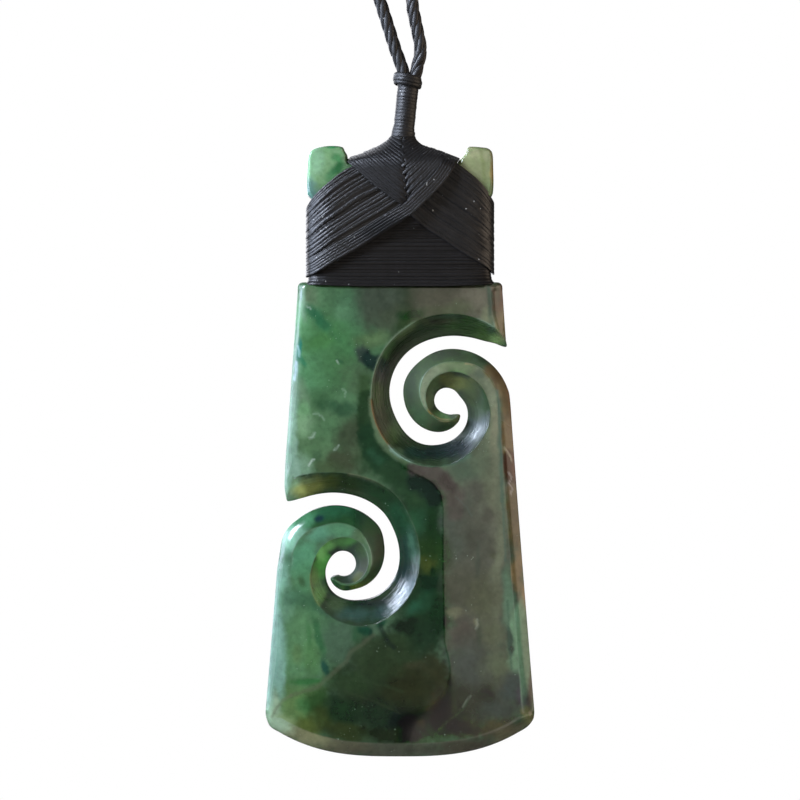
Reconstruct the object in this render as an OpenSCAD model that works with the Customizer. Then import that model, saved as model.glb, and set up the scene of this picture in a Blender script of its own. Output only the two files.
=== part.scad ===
// Double koru pendant: an adze-shaped stone with two carved spiral openings, bound at the
// head with thread and hung on a cord loop. Millimetres. The origin is where the cord rests
// on the back of the neck; +Z is up, the pendant hangs in front, towards -Y.
// Inside the pendant, h is the height above the stone's lowest point.

/* [Stone] */
// Half width of the body just under the binding
body_top_w = 14.1; // [13.8:0.1:14.4]
// Half width of the body at the blade's corners
body_base_w = 18.6; // [18.2:0.1:19]
// Thickness of the body
body_t = 6.8; // [6.4:0.1:7.6]
// Rise of the curved blade edge from its middle to its corners
blade_rise = 4.4; // [4:0.1:4.8]
// Height of the blade's bevel
blade_bevel = 1.7; // [1.2:0.1:2]
// Width of the rounded left edge
left_edge_w = 1; // [0.7:0.1:1.2]
// Width of the flat rind strip along the right edge
rind_w = 1.6; // [1.2:0.1:1.7]

/* [Head] */
// Height of the shoulders under the binding
shoulder_h = 65.7; // [65.6:0.1:65.8]
// Height of the tops of the ears
ear_h = 84.6; // [84.4:0.1:84.8]
// Height of the floor of the notch between the ears
notch_h = 82.2; // [82:0.1:82.4]
// Half width across the ears
ear_w = 12.85; // [12.8:0.05:12.9]
// Half width of the waist inside the binding
waist_w = 12.2; // [12:0.05:12.25]
// Thickness of the head inside the binding
head_t = 5.8; // [5.6:0.1:6.2]

/* [Korus] */
// Centre of the upper spiral's eye, across
upper_eye_x = 6.5; // [6.4:0.1:6.6]
// Centre of the upper spiral's eye, height
upper_eye_h = 49.4; // [49:0.1:49.8]
// Centre of the lower spiral's eye, across
lower_eye_x = -7.8; // [-7.9:0.1:-7.7]
// Centre of the lower spiral's eye, height
lower_eye_h = 26.8; // [26.4:0.1:27.2]
// Thickness left at the edge of the spiral openings
slot_edge_t = 3.2; // [2.6:0.1:4]

/* [Binding] */
// Thickness of one layer of thread
wrap_t = 0.6; // [0.5:0.05:0.65]
// Top of the level winding around the waist
base_wrap_top = 75.4; // [75.2:0.1:75.4]
// Radius of the whipping above the stone
whip_r = 1.65; // [1.6:0.05:1.7]
// Height of the top of the whipping
whip_top = 95; // [94.6:0.1:95.4]

/* [Cord] */
// Diameter of the neck cord
cord_d = 1.7; // [1.6:0.05:1.8]

/* [Hidden] */
gap = 0.05;                     // clearance between one winding and the next
pendant_y = -130;               // middle of the stone, in front of the neck
pendant_z = -353;               // lowest point of the stone, below the nape
edge_t = 4.4;                   // thickness at the rim of the body, before its rounded edge
blade_edge_t = 1.8;             // thickness at the blade's edge
slot_step = 8;                  // degrees between two points of a spiral

// Upper spiral, seen from the front, angles counterclockwise from the right.
// The opening's outer side: turn in degrees, radius of the opening, radius of the carved ridge
UPPER_SLOT = [[42, 11.1, 12.0], [58, 9.75, 12.05], [92, 8.9, 11.9], [134, 8.6, 11.3],
              [169, 8.1, 10.6], [198, 7.5, 10.3], [235, 7.1, 10.0], [264, 6.1, 9.2],
              [304, 4.5, 7.5], [337, 3.1, 6.45], [371, 2.0, 5.3], [410, 1.75, 4.45],
              [481, 1.75, 3.5], [540, 1.75, 2.95], [616, 1.8, 2.7], [660, 2.2, 2.55]];
// The arm's outer side: turn in degrees, radius of the arm, radius of its crest
UPPER_ARM = [[5, 8.7, 7.1], [41, 7.9, 6.5], [68, 7.4, 5.7], [97, 7.0, 5.2], [124, 6.6, 4.85],
             [156, 6.4, 4.1], [182, 5.9, 3.55], [216, 5.3, 3.05], [262, 4.4, 2.95],
             [305, 3.15, 2.75]];
// Lower spiral, seen in a mirror: angles run clockwise from the left
LOWER_SLOT = [[48, 11.6, 13.9], [58, 10.7, 13.8], [86, 9.8, 12.65], [126, 9.0, 11.95],
              [148, 8.3, 11.1], [193, 7.4, 10.3], [218, 6.7, 9.85], [245, 5.7, 9.3],
              [285, 4.55, 7.45], [327, 3.05, 5.4], [370, 2.1, 4.05], [429, 1.8, 3.7],
              [497, 1.7, 3.7], [555, 1.7, 3.3], [604, 1.8, 2.95], [660, 1.9, 2.35]];
LOWER_ARM = [[10, 9.0, 8.2], [29, 9.2, 8.2], [46, 8.8, 7.4], [59, 8.55, 6.3], [86, 8.0, 5.7],
             [118, 7.3, 5.05], [136, 6.95, 4.45], [156, 6.15, 4.1], [196, 5.0, 3.75],
             [244, 3.9, 3.25], [274, 3.7, 2.95], [302, 3.1, 2.6]];
TIP_TURN = 312;                 // turn at which each arm ends in its tip
TIP_R = 2.7;                    // radius of that tip
UPPER_LIP = 57;                 // turn where the upper carved ridge runs out into the side
LOWER_LIP = 60;                 // the same for the lower one

// Outlines of the two ears, left one from the notch to the side: x, height over ear_h
LEFT_EAR = [[-7.3, -1.3], [-7.65, -0.7], [-7.9, -0.2], [-9.0, 0], [-10.9, -0.1],
            [-12.0, -0.4], [-12.6, -1.0]];
RIGHT_EAR = [[12.9, -2.7], [12.75, -0.9], [12.2, -0.35], [11.4, -0.2], [9.7, -0.1],
             [9.2, -0.3], [9.0, -1.0], [8.5, -1.6]];

// The windings seen from the front: x, h
LEFT_CROSS = [[-13.5, 66.3], [-12.9, 66.7], [-8.65, 69.0], [-5.55, 70.8], [-0.5, 73.9],
              [1.6, 75.3], [0.1, 83.15], [-5.6, 83.15], [-6.2, 81.9], [-9.0, 80.2],
              [-11.4, 78.3], [-12.9, 76.5], [-13.5, 75.8]];
RIGHT_CROSS = [[13.5, 66.9], [13.0, 67.3], [12.0, 68.2], [9.3, 69.4], [6.15, 71.75],
               [3.4, 73.5], [1.7, 75.3], [0.2, 83.15], [7.3, 83.15], [7.9, 81.9],
               [9.3, 80.9], [10.7, 79.8], [11.9, 78.5], [13.1, 76.9], [13.5, 76.2]];
KITE = [[-6.9, 83.2], [-3.8, 79.2], [-0.7, 76.0], [1.67, 75.25], [4.7, 78.05], [7.8, 81.9],
        [8.2, 83.2]];

// Route of the cord from the whipping up the left side to the nape, and back down: x, y, z
LEFT_ROUTE = [[0.3, -130, -257.5], [-0.6, -130, -255], [-1.7, -130, -251.5],
              [-2.8, -129.8, -248], [-6.5, -129, -236], [-12, -128, -218], [-22, -126, -185],
              [-33, -122, -150], [-43, -115, -115], [-52, -104, -80], [-59, -87, -48],
              [-62, -67, -24], [-60, -46, -10], [-52, -26, -4], [-38, -11, -1.5],
              [-20, -2, -0.3], [0, 0.85, 0]];
RIGHT_ROUTE = [[20, -2, -0.3], [38, -11, -1.5], [52, -26, -4], [60, -46, -10],
               [62, -67, -24], [59, -87, -48], [52, -104, -80], [43, -115, -115],
               [32, -122, -150], [19.5, -126, -185], [9, -128, -218], [3.2, -129, -237],
               [1.7, -129.8, -248], [2.25, -130, -251.5], [2.85, -130, -255],
               [2.35, -130, -257.5]];

// Smooth curve through the rows of a table, at a turn a: rows hold the turn first
function seg(t, a, i = 0) = (i >= len(t) - 2 || a < t[i + 1][0]) ? i : seg(t, a, i + 1);
function slope(t, c, i) =
    let (lo = max(i - 1, 0), hi = min(i + 1, len(t) - 1))
    (t[hi][c] - t[lo][c]) / (t[hi][0] - t[lo][0]);
function smooth(t, c, a) =
    let (i = seg(t, a), w = t[i + 1][0] - t[i][0], u = (a - t[i][0]) / w)
    t[i][c] * (2 * u * u * u - 3 * u * u + 1) + slope(t, c, i) * w * (u * u * u - 2 * u * u + u)
    + t[i + 1][c] * (3 * u * u - 2 * u * u * u) + slope(t, c, i + 1) * w * (u * u * u - u * u);

// A point at turn a and radius r about an eye; side is 1, or -1 in the mirrored spiral
function about(eye, side, a, r) = [eye[0] + side * r * cos(a), eye[1] + r * sin(a)];

// Rows of the stone's outline: [point, ridge point or width of the edge, half edge thickness,
// share of the edge's depth reached half way in]. Carved scoops are hollow, edges are round.
scoop = 0.3;
rounded = 0.8;
function slot_rows(eye, side, t, lip) =
    [for (a = [t[0][0] : slot_step : t[len(t) - 1][0]])
        let (r = smooth(t, 1, a), ra = a < lip + 2 ? lip + (a - t[0][0]) / 8 : a)
        [about(eye, side, a, r), about(eye, side, ra, smooth(t, 2, ra)), slot_edge_t / 2, scoop]];
function arm_rows(eye, side, t) =
    [for (a = [t[0][0] : slot_step : t[len(t) - 1][0]])
        [about(eye, side, a, smooth(t, 1, a)), about(eye, side, a, smooth(t, 2, a)),
         slot_edge_t / 2, 0.5]];
function tip_row(eye, side) =
    [[about(eye, side, TIP_TURN, TIP_R), about(eye, side, TIP_TURN - 8, TIP_R - 0.08),
      slot_edge_t / 2, 0.5]];
function ear_rows(points) = plain_rows([for (p = points) [p[0], ear_h + p[1]]], 0.45, edge_t);
function backwards(v) = [for (i = [len(v) - 1 : -1 : 0]) v[i]];

// Half width of the body's sides at height h: nearly straight, a little hollow half way down
corner_h = 6.4;
side_hollow = 0.12;
function side_w(h) =
    let (u = (shoulder_h - h) / (shoulder_h - corner_h))
    body_top_w + (body_base_w - body_top_w) * u - side_hollow * sin(180 * u);
function side_rows(side, heights, w) =
    [for (h = heights) [[side * side_w(h), h], w, edge_t / 2, rounded]];
function plain_rows(points, w, t) = [for (p = points) [p, w, t / 2, rounded]];

// A point where the edge turns sharply, with its ridge point given
function corner_rows(points, ridges) =
    [for (i = [0 : len(points) - 1]) [points[i], ridges[i], edge_t / 2, rounded]];

// The blade's edge: nearly flat in the middle, rising quickly to its corners
blade_w = 18.2;
blade_x = -0.15;
function blade_edge(u) = [blade_x + blade_w * u, blade_rise * pow(abs(u), 2.9)];
function blade_corner(side) = [[side * body_base_w, 5.9], [side * (body_base_w - 0.15), 5.2]];

// Where the flat face's rim meets each carved ridge's end
upper_lip = about([upper_eye_x, upper_eye_h], 1, UPPER_LIP, smooth(UPPER_SLOT, 2, UPPER_LIP));
lower_lip = about([lower_eye_x, lower_eye_h], -1, LOWER_LIP, smooth(LOWER_SLOT, 2, LOWER_LIP));

// The step under the binding, from the waist out to the body's side
function shoulder(side) =
    [[side * waist_w, shoulder_h + gap], [side * (waist_w + gap), shoulder_h],
     [side * (side_w(shoulder_h) - 0.4), shoulder_h], [side * side_w(65.3), 65.3]];
function shoulder_ridge(side, w) =
    let (d = side_w(64.6) - w)
    [[side * (waist_w - 0.6), 65.4], [side * (waist_w - 0.4), 65.1],
     [side * (d - 0.15), 64.95], [side * (d - 0.02), 64.8]];

upper_eye = [upper_eye_x, upper_eye_h];
lower_eye = [lower_eye_x, lower_eye_h];
OUTLINE = concat(
    plain_rows([[0.5, notch_h], [-6.9, notch_h], [-7.2, notch_h + 0.4]], 0.6, edge_t),
    ear_rows(LEFT_EAR),
    plain_rows([[-ear_w, 82], [-ear_w, 78], [-waist_w, 77], [-waist_w, shoulder_h + 0.8]], 0.6,
               edge_t),
    corner_rows(shoulder(-1), shoulder_ridge(-1, left_edge_w)),
    side_rows(-1, [64.4, 58, 52, 46, 41], left_edge_w),
    corner_rows([[-side_w(39) + 0.05, 39], [-side_w(37.4) + 0.15, 37.4], [-15.75, 35.9]],
                [for (d = [0.6, 0.4, 0.2]) lower_lip + [-d / 2, d]]),
    slot_rows(lower_eye, -1, LOWER_SLOT, LOWER_LIP),
    tip_row(lower_eye, -1),
    backwards(arm_rows(lower_eye, -1, LOWER_ARM)),
    side_rows(-1, [26, 22, 16, 10, corner_h], left_edge_w),
    plain_rows(blade_corner(-1), 1.3, 3.4),
    plain_rows([for (u = [-0.98 : 0.07 : 0.981]) blade_edge(u)], blade_bevel, blade_edge_t),
    plain_rows(backwards(blade_corner(1)), 1.3, 3.4),
    side_rows(1, [corner_h, 10, 16, 22, 28, 34, 40, 45], rind_w),
    arm_rows(upper_eye, 1, UPPER_ARM),
    tip_row(upper_eye, 1),
    backwards(slot_rows(upper_eye, 1, UPPER_SLOT, UPPER_LIP)),
    corner_rows([[side_w(57.6), 57.7], [side_w(59), 59]],
                [for (d = [0.2, 0.4]) upper_lip + [-d / 6, d]]),
    side_rows(1, [61.5, 64.4], rind_w),
    backwards(corner_rows(shoulder(1), shoulder_ridge(1, rind_w))),
    plain_rows([[waist_w, shoulder_h + 0.8], [waist_w, 77], [ear_w, 78]], 0.6, edge_t),
    ear_rows(RIGHT_EAR),
    plain_rows([[8.1, notch_h + 0.3], [7.8, notch_h]], 0.6, edge_t));

N = len(OUTLINE);
function unit(v) = v / norm(v);
function inward(i) =
    let (d = unit(OUTLINE[(i + 1) % N][0] - OUTLINE[(i + N - 1) % N][0])) [-d[1], d[0]];
function ridge(i) =
    is_num(OUTLINE[i][1]) ? OUTLINE[i][0] + OUTLINE[i][1] * inward(i) : OUTLINE[i][1];
// The head is thinner than the body, with a small step at the shoulders
step_h = 65.25;
function in_head(i) = ridge(i)[1] > step_h;

// The three levels of one face's edge: 0 at the rim, 1 half way in, 2 at the flat face
function level_at(i, k) =
    let (row = OUTLINE[i], y0 = row[2], y2 = (in_head(i) ? head_t : body_t) / 2,
         rim = row[0], top = ridge(i))
    k == 0 ? [rim[0], y0, rim[1]]
    : k == 1 ? [(rim[0] + top[0]) / 2, y0 + (y2 - y0) * row[3], (rim[1] + top[1]) / 2]
    : [top[0], y2, top[1]];

// Triangles that fill a flat outline with hollows in it: a corner that turns left, is not too
// thin and has no other point inside it is cut off, then the next one along, until one
// triangle is left. After a whole round without one, thinner corners count too.
thin = 0.12;
function turn_of(a, b, c) = (b[0] - a[0]) * (c[1] - a[1]) - (b[1] - a[1]) * (c[0] - a[0]);
function covers(a, b, c, p) =
    turn_of(a, b, p) >= 0 && turn_of(b, c, p) >= 0 && turn_of(c, a, p) >= 0;
function is_ear(pts, left, k, least) =
    let (m = len(left), i = left[(k + m - 1) % m], j = left[k], l = left[(k + 1) % m],
         a = pts[i], b = pts[j], c = pts[l])
    turn_of(a, b, c) > least * max(norm(b - a), norm(c - b), norm(a - c))
    && len([for (q = left) if (q != i && q != j && q != l && covers(a, b, c, pts[q])) 1]) == 0;
function ear_from(pts, left, k, tried = 0) =
    is_ear(pts, left, k % len(left), thin / pow(4, floor(tried / len(left)))) ? k % len(left)
    : ear_from(pts, left, k + 1, tried + 1);
function fill(pts, left, start = 0) =
    len(left) == 3 ? [left] :
    let (m = len(left), k = ear_from(pts, left, start),
         ear = [left[(k + m - 1) % m], left[k], left[(k + 1) % m]],
         rest = [for (q = [0 : m - 1]) if (q != k) left[q]])
    concat([ear], fill(pts, rest, k + 1));

module carved_slab() {
    front = [for (k = [2, 1, 0]) for (i = [0 : N - 1])
        let (p = level_at(i, k)) [p[0], -p[1], p[2]]];
    back = [for (k = [0, 1, 2]) for (i = [0 : N - 1]) level_at(i, k)];
    walls = [for (k = [0 : 4]) for (i = [0 : N - 1]) let (j = (i + 1) % N)
        each [[k * N + i, k * N + j, (k + 1) * N + j], [k * N + i, (k + 1) * N + j, (k + 1) * N + i]]];
    ridges = [for (i = [0 : N - 1]) ridge(i)];
    head = [for (i = [0 : N - 1]) if (in_head(i)) i];
    body = [for (i = [0 : N - 1]) if (!in_head(i)) i];
    left = body[0];
    right = body[len(body) - 1];
    face = concat(fill(ridges, head), fill(ridges, body),
                  [[left - 1, left, right], [left - 1, right, right + 1]]);
    front_face = [for (t = face) [t[2], t[1], t[0]]];
    back_face = [for (t = face) [for (q = t) 5 * N + q]];
    polyhedron(concat(front, back), concat(walls, front_face, back_face), convexity = 12);
}

// A box centred on x and y between two heights
module block(half_x, half_y, low, high) {
    translate([-half_x, -half_y, low]) cube([2 * half_x, 2 * half_y, high - low]);
}

module place() {
    translate([0, pendant_y, pendant_z]) children();
}

module stone() {
    color("#3F6B4A") place() carved_slab();
}

// An outline seen from the front, as deep as the binding
module seen_from_front(points) {
    translate([0, 10, 0]) rotate([90, 0, 0]) linear_extrude(20) polygon(points);
}

base_x = waist_w + gap + 0.5;
base_y = head_t / 2 + gap + wrap_t;
cross_y = base_y + gap + wrap_t;
cross_x = base_x + gap + 0.45;
kite_y = cross_y + gap + wrap_t;

module base_wrap() {
    color("#1B1A1D") place() difference() {
        union() {
            block(base_x, base_y, shoulder_h + gap, base_wrap_top);
            block(cross_x, base_y, shoulder_h + gap, shoulder_h + 0.5);
        }
        block(waist_w + gap, head_t / 2 + gap, shoulder_h - 1, base_wrap_top + 1);
    }
}

// One diagonal band around a side: the front and back seen as one outline, hollow inside
module cross_wrap(points) {
    color("#19181B") place() intersection() {
        seen_from_front(points);
        difference() {
            block(cross_x, cross_y, shoulder_h, notch_h + 2);
            block(base_x + gap, base_y + gap, shoulder_h - 1, base_wrap_top + gap);
            block(waist_w + gap, head_t / 2 + gap, base_wrap_top, 77);
            block(ear_w + gap, head_t / 2 + gap, 76.9, notch_h + 3);
        }
    }
}

module left_cross_wrap() {
    cross_wrap(LEFT_CROSS);
}

module right_cross_wrap() {
    cross_wrap(RIGHT_CROSS);
}

// Where the whipping stands on the stone's binding, and where it ends
whip_foot = [0.45, 86.3];
whip_head = [1.35, whip_top];

module top_wrap() {
    roof_h = 83.25;
    color("#1F1E22") place() {
        difference() {
            intersection() {
                seen_from_front(KITE);
                block(10, kite_y, 70, roof_h);
            }
            block(10, cross_y + gap, 70, 83.2);
        }
        translate([-6.9, -head_t / 2, notch_h + gap]) cube([14.5, head_t, roof_h - notch_h - gap]);
        hull() {
            translate([-6.9, -kite_y, 83.2]) cube([15.1, 2 * kite_y, 0.4]);
            translate([-3.4, -2.7, 84.4]) cube([7.8, 5.4, 0.2]);
            translate([whip_foot[0], 0, whip_foot[1] - 0.3]) cylinder(r = whip_r, h = 0.2, $fn = 24);
        }
    }
}

// The column of turns that closes the cord above the stone, leaning a little to the right
module neck_whipping() {
    rise = whip_head - whip_foot;
    tilt = atan2(rise[0], rise[1]);
    foot_h = whip_foot[1] - 0.1 + gap + whip_r * sin(tilt);
    length = norm(rise) - 0.2;
    color("#17161A") place() translate([whip_foot[0], 0, foot_h]) rotate([0, tilt, 0]) {
        cylinder(r = whip_r, h = length, $fn = 48);
        translate([0, 0, length - 2.2]) cylinder(r = whip_r + 0.2, h = 1.6, $fn = 48);
    }
}

// Smooth route through the listed points, sampled more closely where the cord bends most
ROUTE = concat(LEFT_ROUTE, RIGHT_ROUTE);
function knot(i) = ROUTE[max(0, min(len(ROUTE) - 1, i))];
function route_at(i, u) =
    let (a = knot(i - 1), b = knot(i), c = knot(i + 1), d = knot(i + 2))
    0.5 * (2 * b + u * (c - a) + u * u * (2 * a - 5 * b + 4 * c - d)
           + u * u * u * (3 * b - a - 3 * c + d));
function steps(i) = norm(knot(i + 1) - knot(i)) < 10 ? 2 : 3;
CORD_LINE = concat([for (i = [0 : len(ROUTE) - 2]) for (s = [0 : steps(i) - 1])
                       route_at(i, s / steps(i))], [knot(len(ROUTE) - 1)]);
cord_sides = 8;

module neck_cord() {
    n = len(CORD_LINE);
    rings = [for (i = [0 : n - 1])
        let (d = unit(CORD_LINE[min(i + 1, n - 1)] - CORD_LINE[max(i - 1, 0)]),
             across = unit(cross(d, [0, 0.8, 0.6])), other = cross(d, across))
        for (s = [0 : cord_sides - 1]) let (a = 360 * (s + 0.5) / cord_sides)
            CORD_LINE[i] + cord_d / 2 * (cos(a) * across + sin(a) * other)];
    walls = [for (i = [0 : n - 2]) for (s = [0 : cord_sides - 1])
        let (t = (s + 1) % cord_sides, a = i * cord_sides, b = a + cord_sides)
        each [[a + s, b + t, a + t], [a + s, b + s, b + t]]];
    start = [for (s = [0 : cord_sides - 1]) s];
    end = [for (s = [cord_sides - 1 : -1 : 0]) (n - 1) * cord_sides + s];
    color("#151417") polyhedron(rings, concat(walls, [start, end]), convexity = 8);
}

stone();
base_wrap();
left_cross_wrap();
right_cross_wrap();
top_wrap();
neck_whipping();
neck_cord();
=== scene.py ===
"""Double koru pendant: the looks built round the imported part.

Pendant sizes are millimetres: x to the right, y from front (negative) to back, h up from the
stone's lowest point. The frame is metres, with the origin where the cord rests on the nape.
"""

import bpy
import numpy as np
from mathutils.geometry import delaunay_2d_cdt
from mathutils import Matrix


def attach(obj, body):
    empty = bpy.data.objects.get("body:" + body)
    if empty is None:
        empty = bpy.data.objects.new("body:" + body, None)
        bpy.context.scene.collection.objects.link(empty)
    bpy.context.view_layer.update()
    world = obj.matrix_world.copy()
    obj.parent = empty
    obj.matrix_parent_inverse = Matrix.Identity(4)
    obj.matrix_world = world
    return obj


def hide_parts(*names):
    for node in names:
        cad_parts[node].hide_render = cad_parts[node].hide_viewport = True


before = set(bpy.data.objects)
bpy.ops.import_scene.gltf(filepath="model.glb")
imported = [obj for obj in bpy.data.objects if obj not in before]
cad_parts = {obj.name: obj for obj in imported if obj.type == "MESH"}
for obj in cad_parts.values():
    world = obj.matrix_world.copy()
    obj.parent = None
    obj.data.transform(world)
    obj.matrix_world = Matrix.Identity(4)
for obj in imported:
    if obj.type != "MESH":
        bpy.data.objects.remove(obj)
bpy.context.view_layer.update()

# Where the pendant hangs in the frame, as in the part's source
PENDANT_Y, PENDANT_Z = -130.0, -353.0

# Stone: half widths, the little that its sides are hollow, thicknesses and heights
BODY_TOP_W, BODY_BASE_W, WAIST_W, EAR_W, SIDE_HOLLOW = 14.1, 18.6, 12.2, 12.85, 0.12
BODY_T, HEAD_T = 6.8, 5.8
CORNER_H, STEP_H, SHOULDER_H, NOTCH_H, EAR_H = 6.4, 65.25, 65.7, 82.2, 84.6
# Blade: half width, middle, rise of its edge to the corners, bevel, and bevel at the corners
BLADE_W, BLADE_X, BLADE_RISE, BLADE_BEVEL, CORNER_BEVEL = 18.2, -0.15, 4.4, 2.0, 1.3
# Widths of the rounded left edge, the rind strip, and the head's and the ears' rounding
LEFT_EDGE_W, RIND_W, HEAD_EDGE_W, EAR_EDGE_W = 1.6, 1.7, 0.6, 0.45
# Thickness left at the cut edges
EDGE_T, CORNER_EDGE_T, BLADE_EDGE_T, SLOT_EDGE_T, ARM_EDGE_T = 4.4, 3.4, 1.8, 3.6, 3.4
# Share of its height that a band has reached half way across: hollow under the straight one
STRAIGHT, RIND_ROUND, ROUND = 0.5, 0.62, 0.84
# Heights between which the crease goes soft, and where the binding hides the head's face
SOFT_CREASE_H, HIDDEN_H, HIDDEN_W = (13, 6), (66.6, 75.5), 11
UPPER_EYE, LOWER_EYE = np.array([6.5, 49.4]), np.array([-7.8, 26.8])

# Spirals: turn in degrees, radius of the cut, radius of the carved ridge
UPPER_SLOT = np.array([
    [42, 11.1, 12.0], [58, 9.75, 12.05], [92, 8.9, 11.9], [134, 8.6, 11.3], [169, 8.1, 10.6],
    [198, 7.5, 10.3], [235, 7.1, 10.0], [264, 6.1, 9.2], [304, 4.5, 7.5], [337, 3.1, 6.45],
    [371, 2.0, 5.3], [410, 1.75, 4.45], [481, 1.75, 3.5], [540, 1.75, 2.95], [616, 1.8, 2.7],
    [660, 2.2, 2.55]])
UPPER_ARM = np.array([
    [5, 8.7, 7.1], [41, 7.9, 6.5], [68, 7.4, 5.7], [97, 7.0, 5.2], [124, 6.6, 4.85],
    [156, 6.4, 4.1], [182, 5.9, 3.55], [216, 5.3, 3.05], [262, 4.4, 2.95], [305, 3.15, 2.75]])
LOWER_SLOT = np.array([
    [48, 11.6, 13.9], [58, 10.7, 13.8], [86, 9.8, 12.65], [126, 9.0, 11.95], [148, 8.3, 11.1],
    [193, 7.4, 10.3], [218, 6.7, 9.85], [245, 5.7, 9.3], [285, 4.55, 7.45], [327, 3.05, 5.4],
    [370, 2.1, 4.05], [429, 1.8, 3.7], [497, 1.7, 3.7], [555, 1.7, 3.3], [604, 1.8, 2.95],
    [660, 1.9, 2.35]])
LOWER_ARM = np.array([
    [10, 9.0, 7.2], [29, 9.2, 7.0], [46, 8.8, 6.6], [59, 8.55, 6.1], [86, 8.0, 5.65],
    [118, 7.3, 5.05], [136, 6.95, 4.45], [156, 6.15, 4.1], [196, 5.0, 3.75], [244, 3.9, 3.25],
    [274, 3.7, 2.95], [302, 3.1, 2.6]])
# The arms' tips, the turns where the lips end, and the turn from one row to the next
TIP_TURN, TIP_R, TIP_BEVEL, UPPER_LIP, LOWER_LIP, SLOT_STEP = 312, 2.7, 0.08, 57, 60, 8
# How the carving runs into the face, by turn: under 0.5 hollow with a crisp ridge, over it soft
UPPER_SOFT = np.array([[42, 0.3], [100, 0.25], [215, 0.22], [245, 0.42], [278, 0.4], [305, 0.18],
                       [345, 0.18], [370, 0.4], [400, 0.45], [440, 0.32], [660, 0.32]])
LOWER_SOFT = np.array([[48, 0.8], [66, 0.7], [82, 0.38], [105, 0.24], [228, 0.22], [245, 0.5],
                       [262, 0.66], [308, 0.66], [330, 0.36], [400, 0.32], [660, 0.32]])
ARM_SOFT = np.array([[5, 0.8], [48, 0.76], [72, 0.6], [95, 0.5], [312, 0.5]])

# Ears: x, height over the ear's top
LEFT_EAR = np.array([[-7.3, -1.3], [-7.65, -0.7], [-7.9, -0.2], [-9.0, 0], [-10.9, -0.1],
                     [-12.0, -0.4], [-12.6, -1.0]])
RIGHT_EAR = np.array([[12.9, -2.7], [12.75, -0.9], [12.2, -0.35], [11.4, -0.2], [9.7, -0.1],
                      [9.2, -0.3], [9.0, -1.0], [8.5, -1.6]])

# Right bound of the low left field: along the upper ridge, then the crease that runs down to
# the blade: h, x
CREASE = np.array([[4.7, 6.9], [9.2, 7.4], [13.3, 6.8], [16.1, 6.1], [27.2, 5.9], [34.5, 5.9],
                   [36.6, 5.5], [38.0, 4.3], [39.0, 2.3], [39.9, 0.5], [41.6, -0.7], [44.0, -2.3],
                   [46.2, -3.3], [49.0, -3.9], [51.4, -3.95], [54.0, -3.3]])

# Thread lines seen from the front, from the side of the head inwards: x, h
LEFT_BAND_LOW = [[-13.1, 66.75], [-12.4, 66.9], [-11.39, 67.35], [-8.65, 69.05], [-5.56, 70.8],
                 [-2.78, 72.5], [-0.47, 73.95], [0.97, 74.95], [2.5, 76.2]]
LEFT_BAND_HIGH = [[-13.0, 76.1], [-12.3, 77.1], [-11.39, 78.1], [-10.42, 79.0], [-9.03, 80.1],
                  [-7.64, 81.05], [-6.17, 81.85], [-5.0, 82.5], [-3.6, 83.2]]
RIGHT_BAND_LOW = [[13.1, 67.1], [12.9, 67.3], [12.0, 68.15], [9.28, 69.85], [6.15, 71.8],
                  [3.43, 73.55], [1.67, 75.2], [0.56, 76.3]]
RIGHT_BAND_HIGH = [[13.05, 76.6], [12.9, 76.85], [11.89, 78.4], [10.69, 79.7], [9.31, 80.8],
                   [7.89, 81.85], [6.67, 82.65], [5.56, 83.3]]
PLAIT_LINE = [[1.45, 75.6], [1.2, 76.6], [0.9, 78.4], [0.69, 80.3], [0.42, 82.4], [0.25, 84.4],
              [0.3, 85.6]]
TENT_LEFT = [[-7.45, 82.7], [-6.95, 83.1], [-5.0, 83.85], [-3.2, 84.65], [-1.85, 85.5],
             [-1.1, 86.3]]
TENT_RIGHT = [[8.15, 83.05], [7.0, 83.5], [6.0, 83.9], [4.5, 84.4], [2.9, 85.0], [2.35, 85.5],
              [1.98, 86.3]]
# Whipping: middle of its foot and head, radius
WHIP_FOOT, WHIP_HEAD, WHIP_R = np.array([0.45, 0, 86.2]), np.array([1.32, 0, 94.9]), 1.7

# Half depth of the plaited top: height, depth
TENT_DEPTH = np.array([[70, 4.5], [80.5, 4.5], [82.5, 4.3], [84.3, 2.9], [86.3, 1.5], [88, 1.45]])
# Thread: radius, how flat it is pressed, half width as a share of its room, corners of a tube;
# and the half depth at which the bands lie
THREAD_R, THREAD_PRESS, THREAD_FILL, THREAD_SIDES, BAND_D = 0.31, 0.2, 0.53, 8, 3.96
# The uppermost threads of the left band, across to the right notch: x, h
RIBBON = LEFT_BAND_LOW[:7] + [[0.4, 74.45], [1.67, 75.3], [3.06, 76.6], [4.68, 78.06],
                              [6.25, 79.62], [7.08, 80.76], [7.75, 81.9], [8.1, 82.9]]
# The cord from the whipping up the left side to the nape, and down the right: millimetres in
# the frame
LEFT_ROUTE = [[0.95, -130, -260.5], [0.3, -130, -257.5], [-0.6, -130, -255], [-1.7, -130, -251.5],
              [-2.8, -129.8, -248], [-6.5, -129, -236], [-12, -128, -218], [-22, -126, -185],
              [-33, -122, -150], [-43, -115, -115], [-52, -104, -80], [-59, -87, -48],
              [-62, -67, -24], [-60, -46, -10], [-52, -26, -4], [-38, -11, -1.5],
              [-20, -2, -0.3], [0, 0.85, 0]]
RIGHT_ROUTE = [[20, -2, -0.3], [38, -11, -1.5], [52, -26, -4], [60, -46, -10],
               [62, -67, -24], [59, -87, -48], [52, -104, -80], [43, -115, -115],
               [32, -122, -150], [19.5, -126, -185], [9, -128, -218], [3.2, -129, -237],
               [1.7, -129.8, -248], [2.25, -130, -251.5], [2.85, -130, -255],
               [2.35, -130, -257.5], [1.7, -130, -260.5]]


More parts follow.
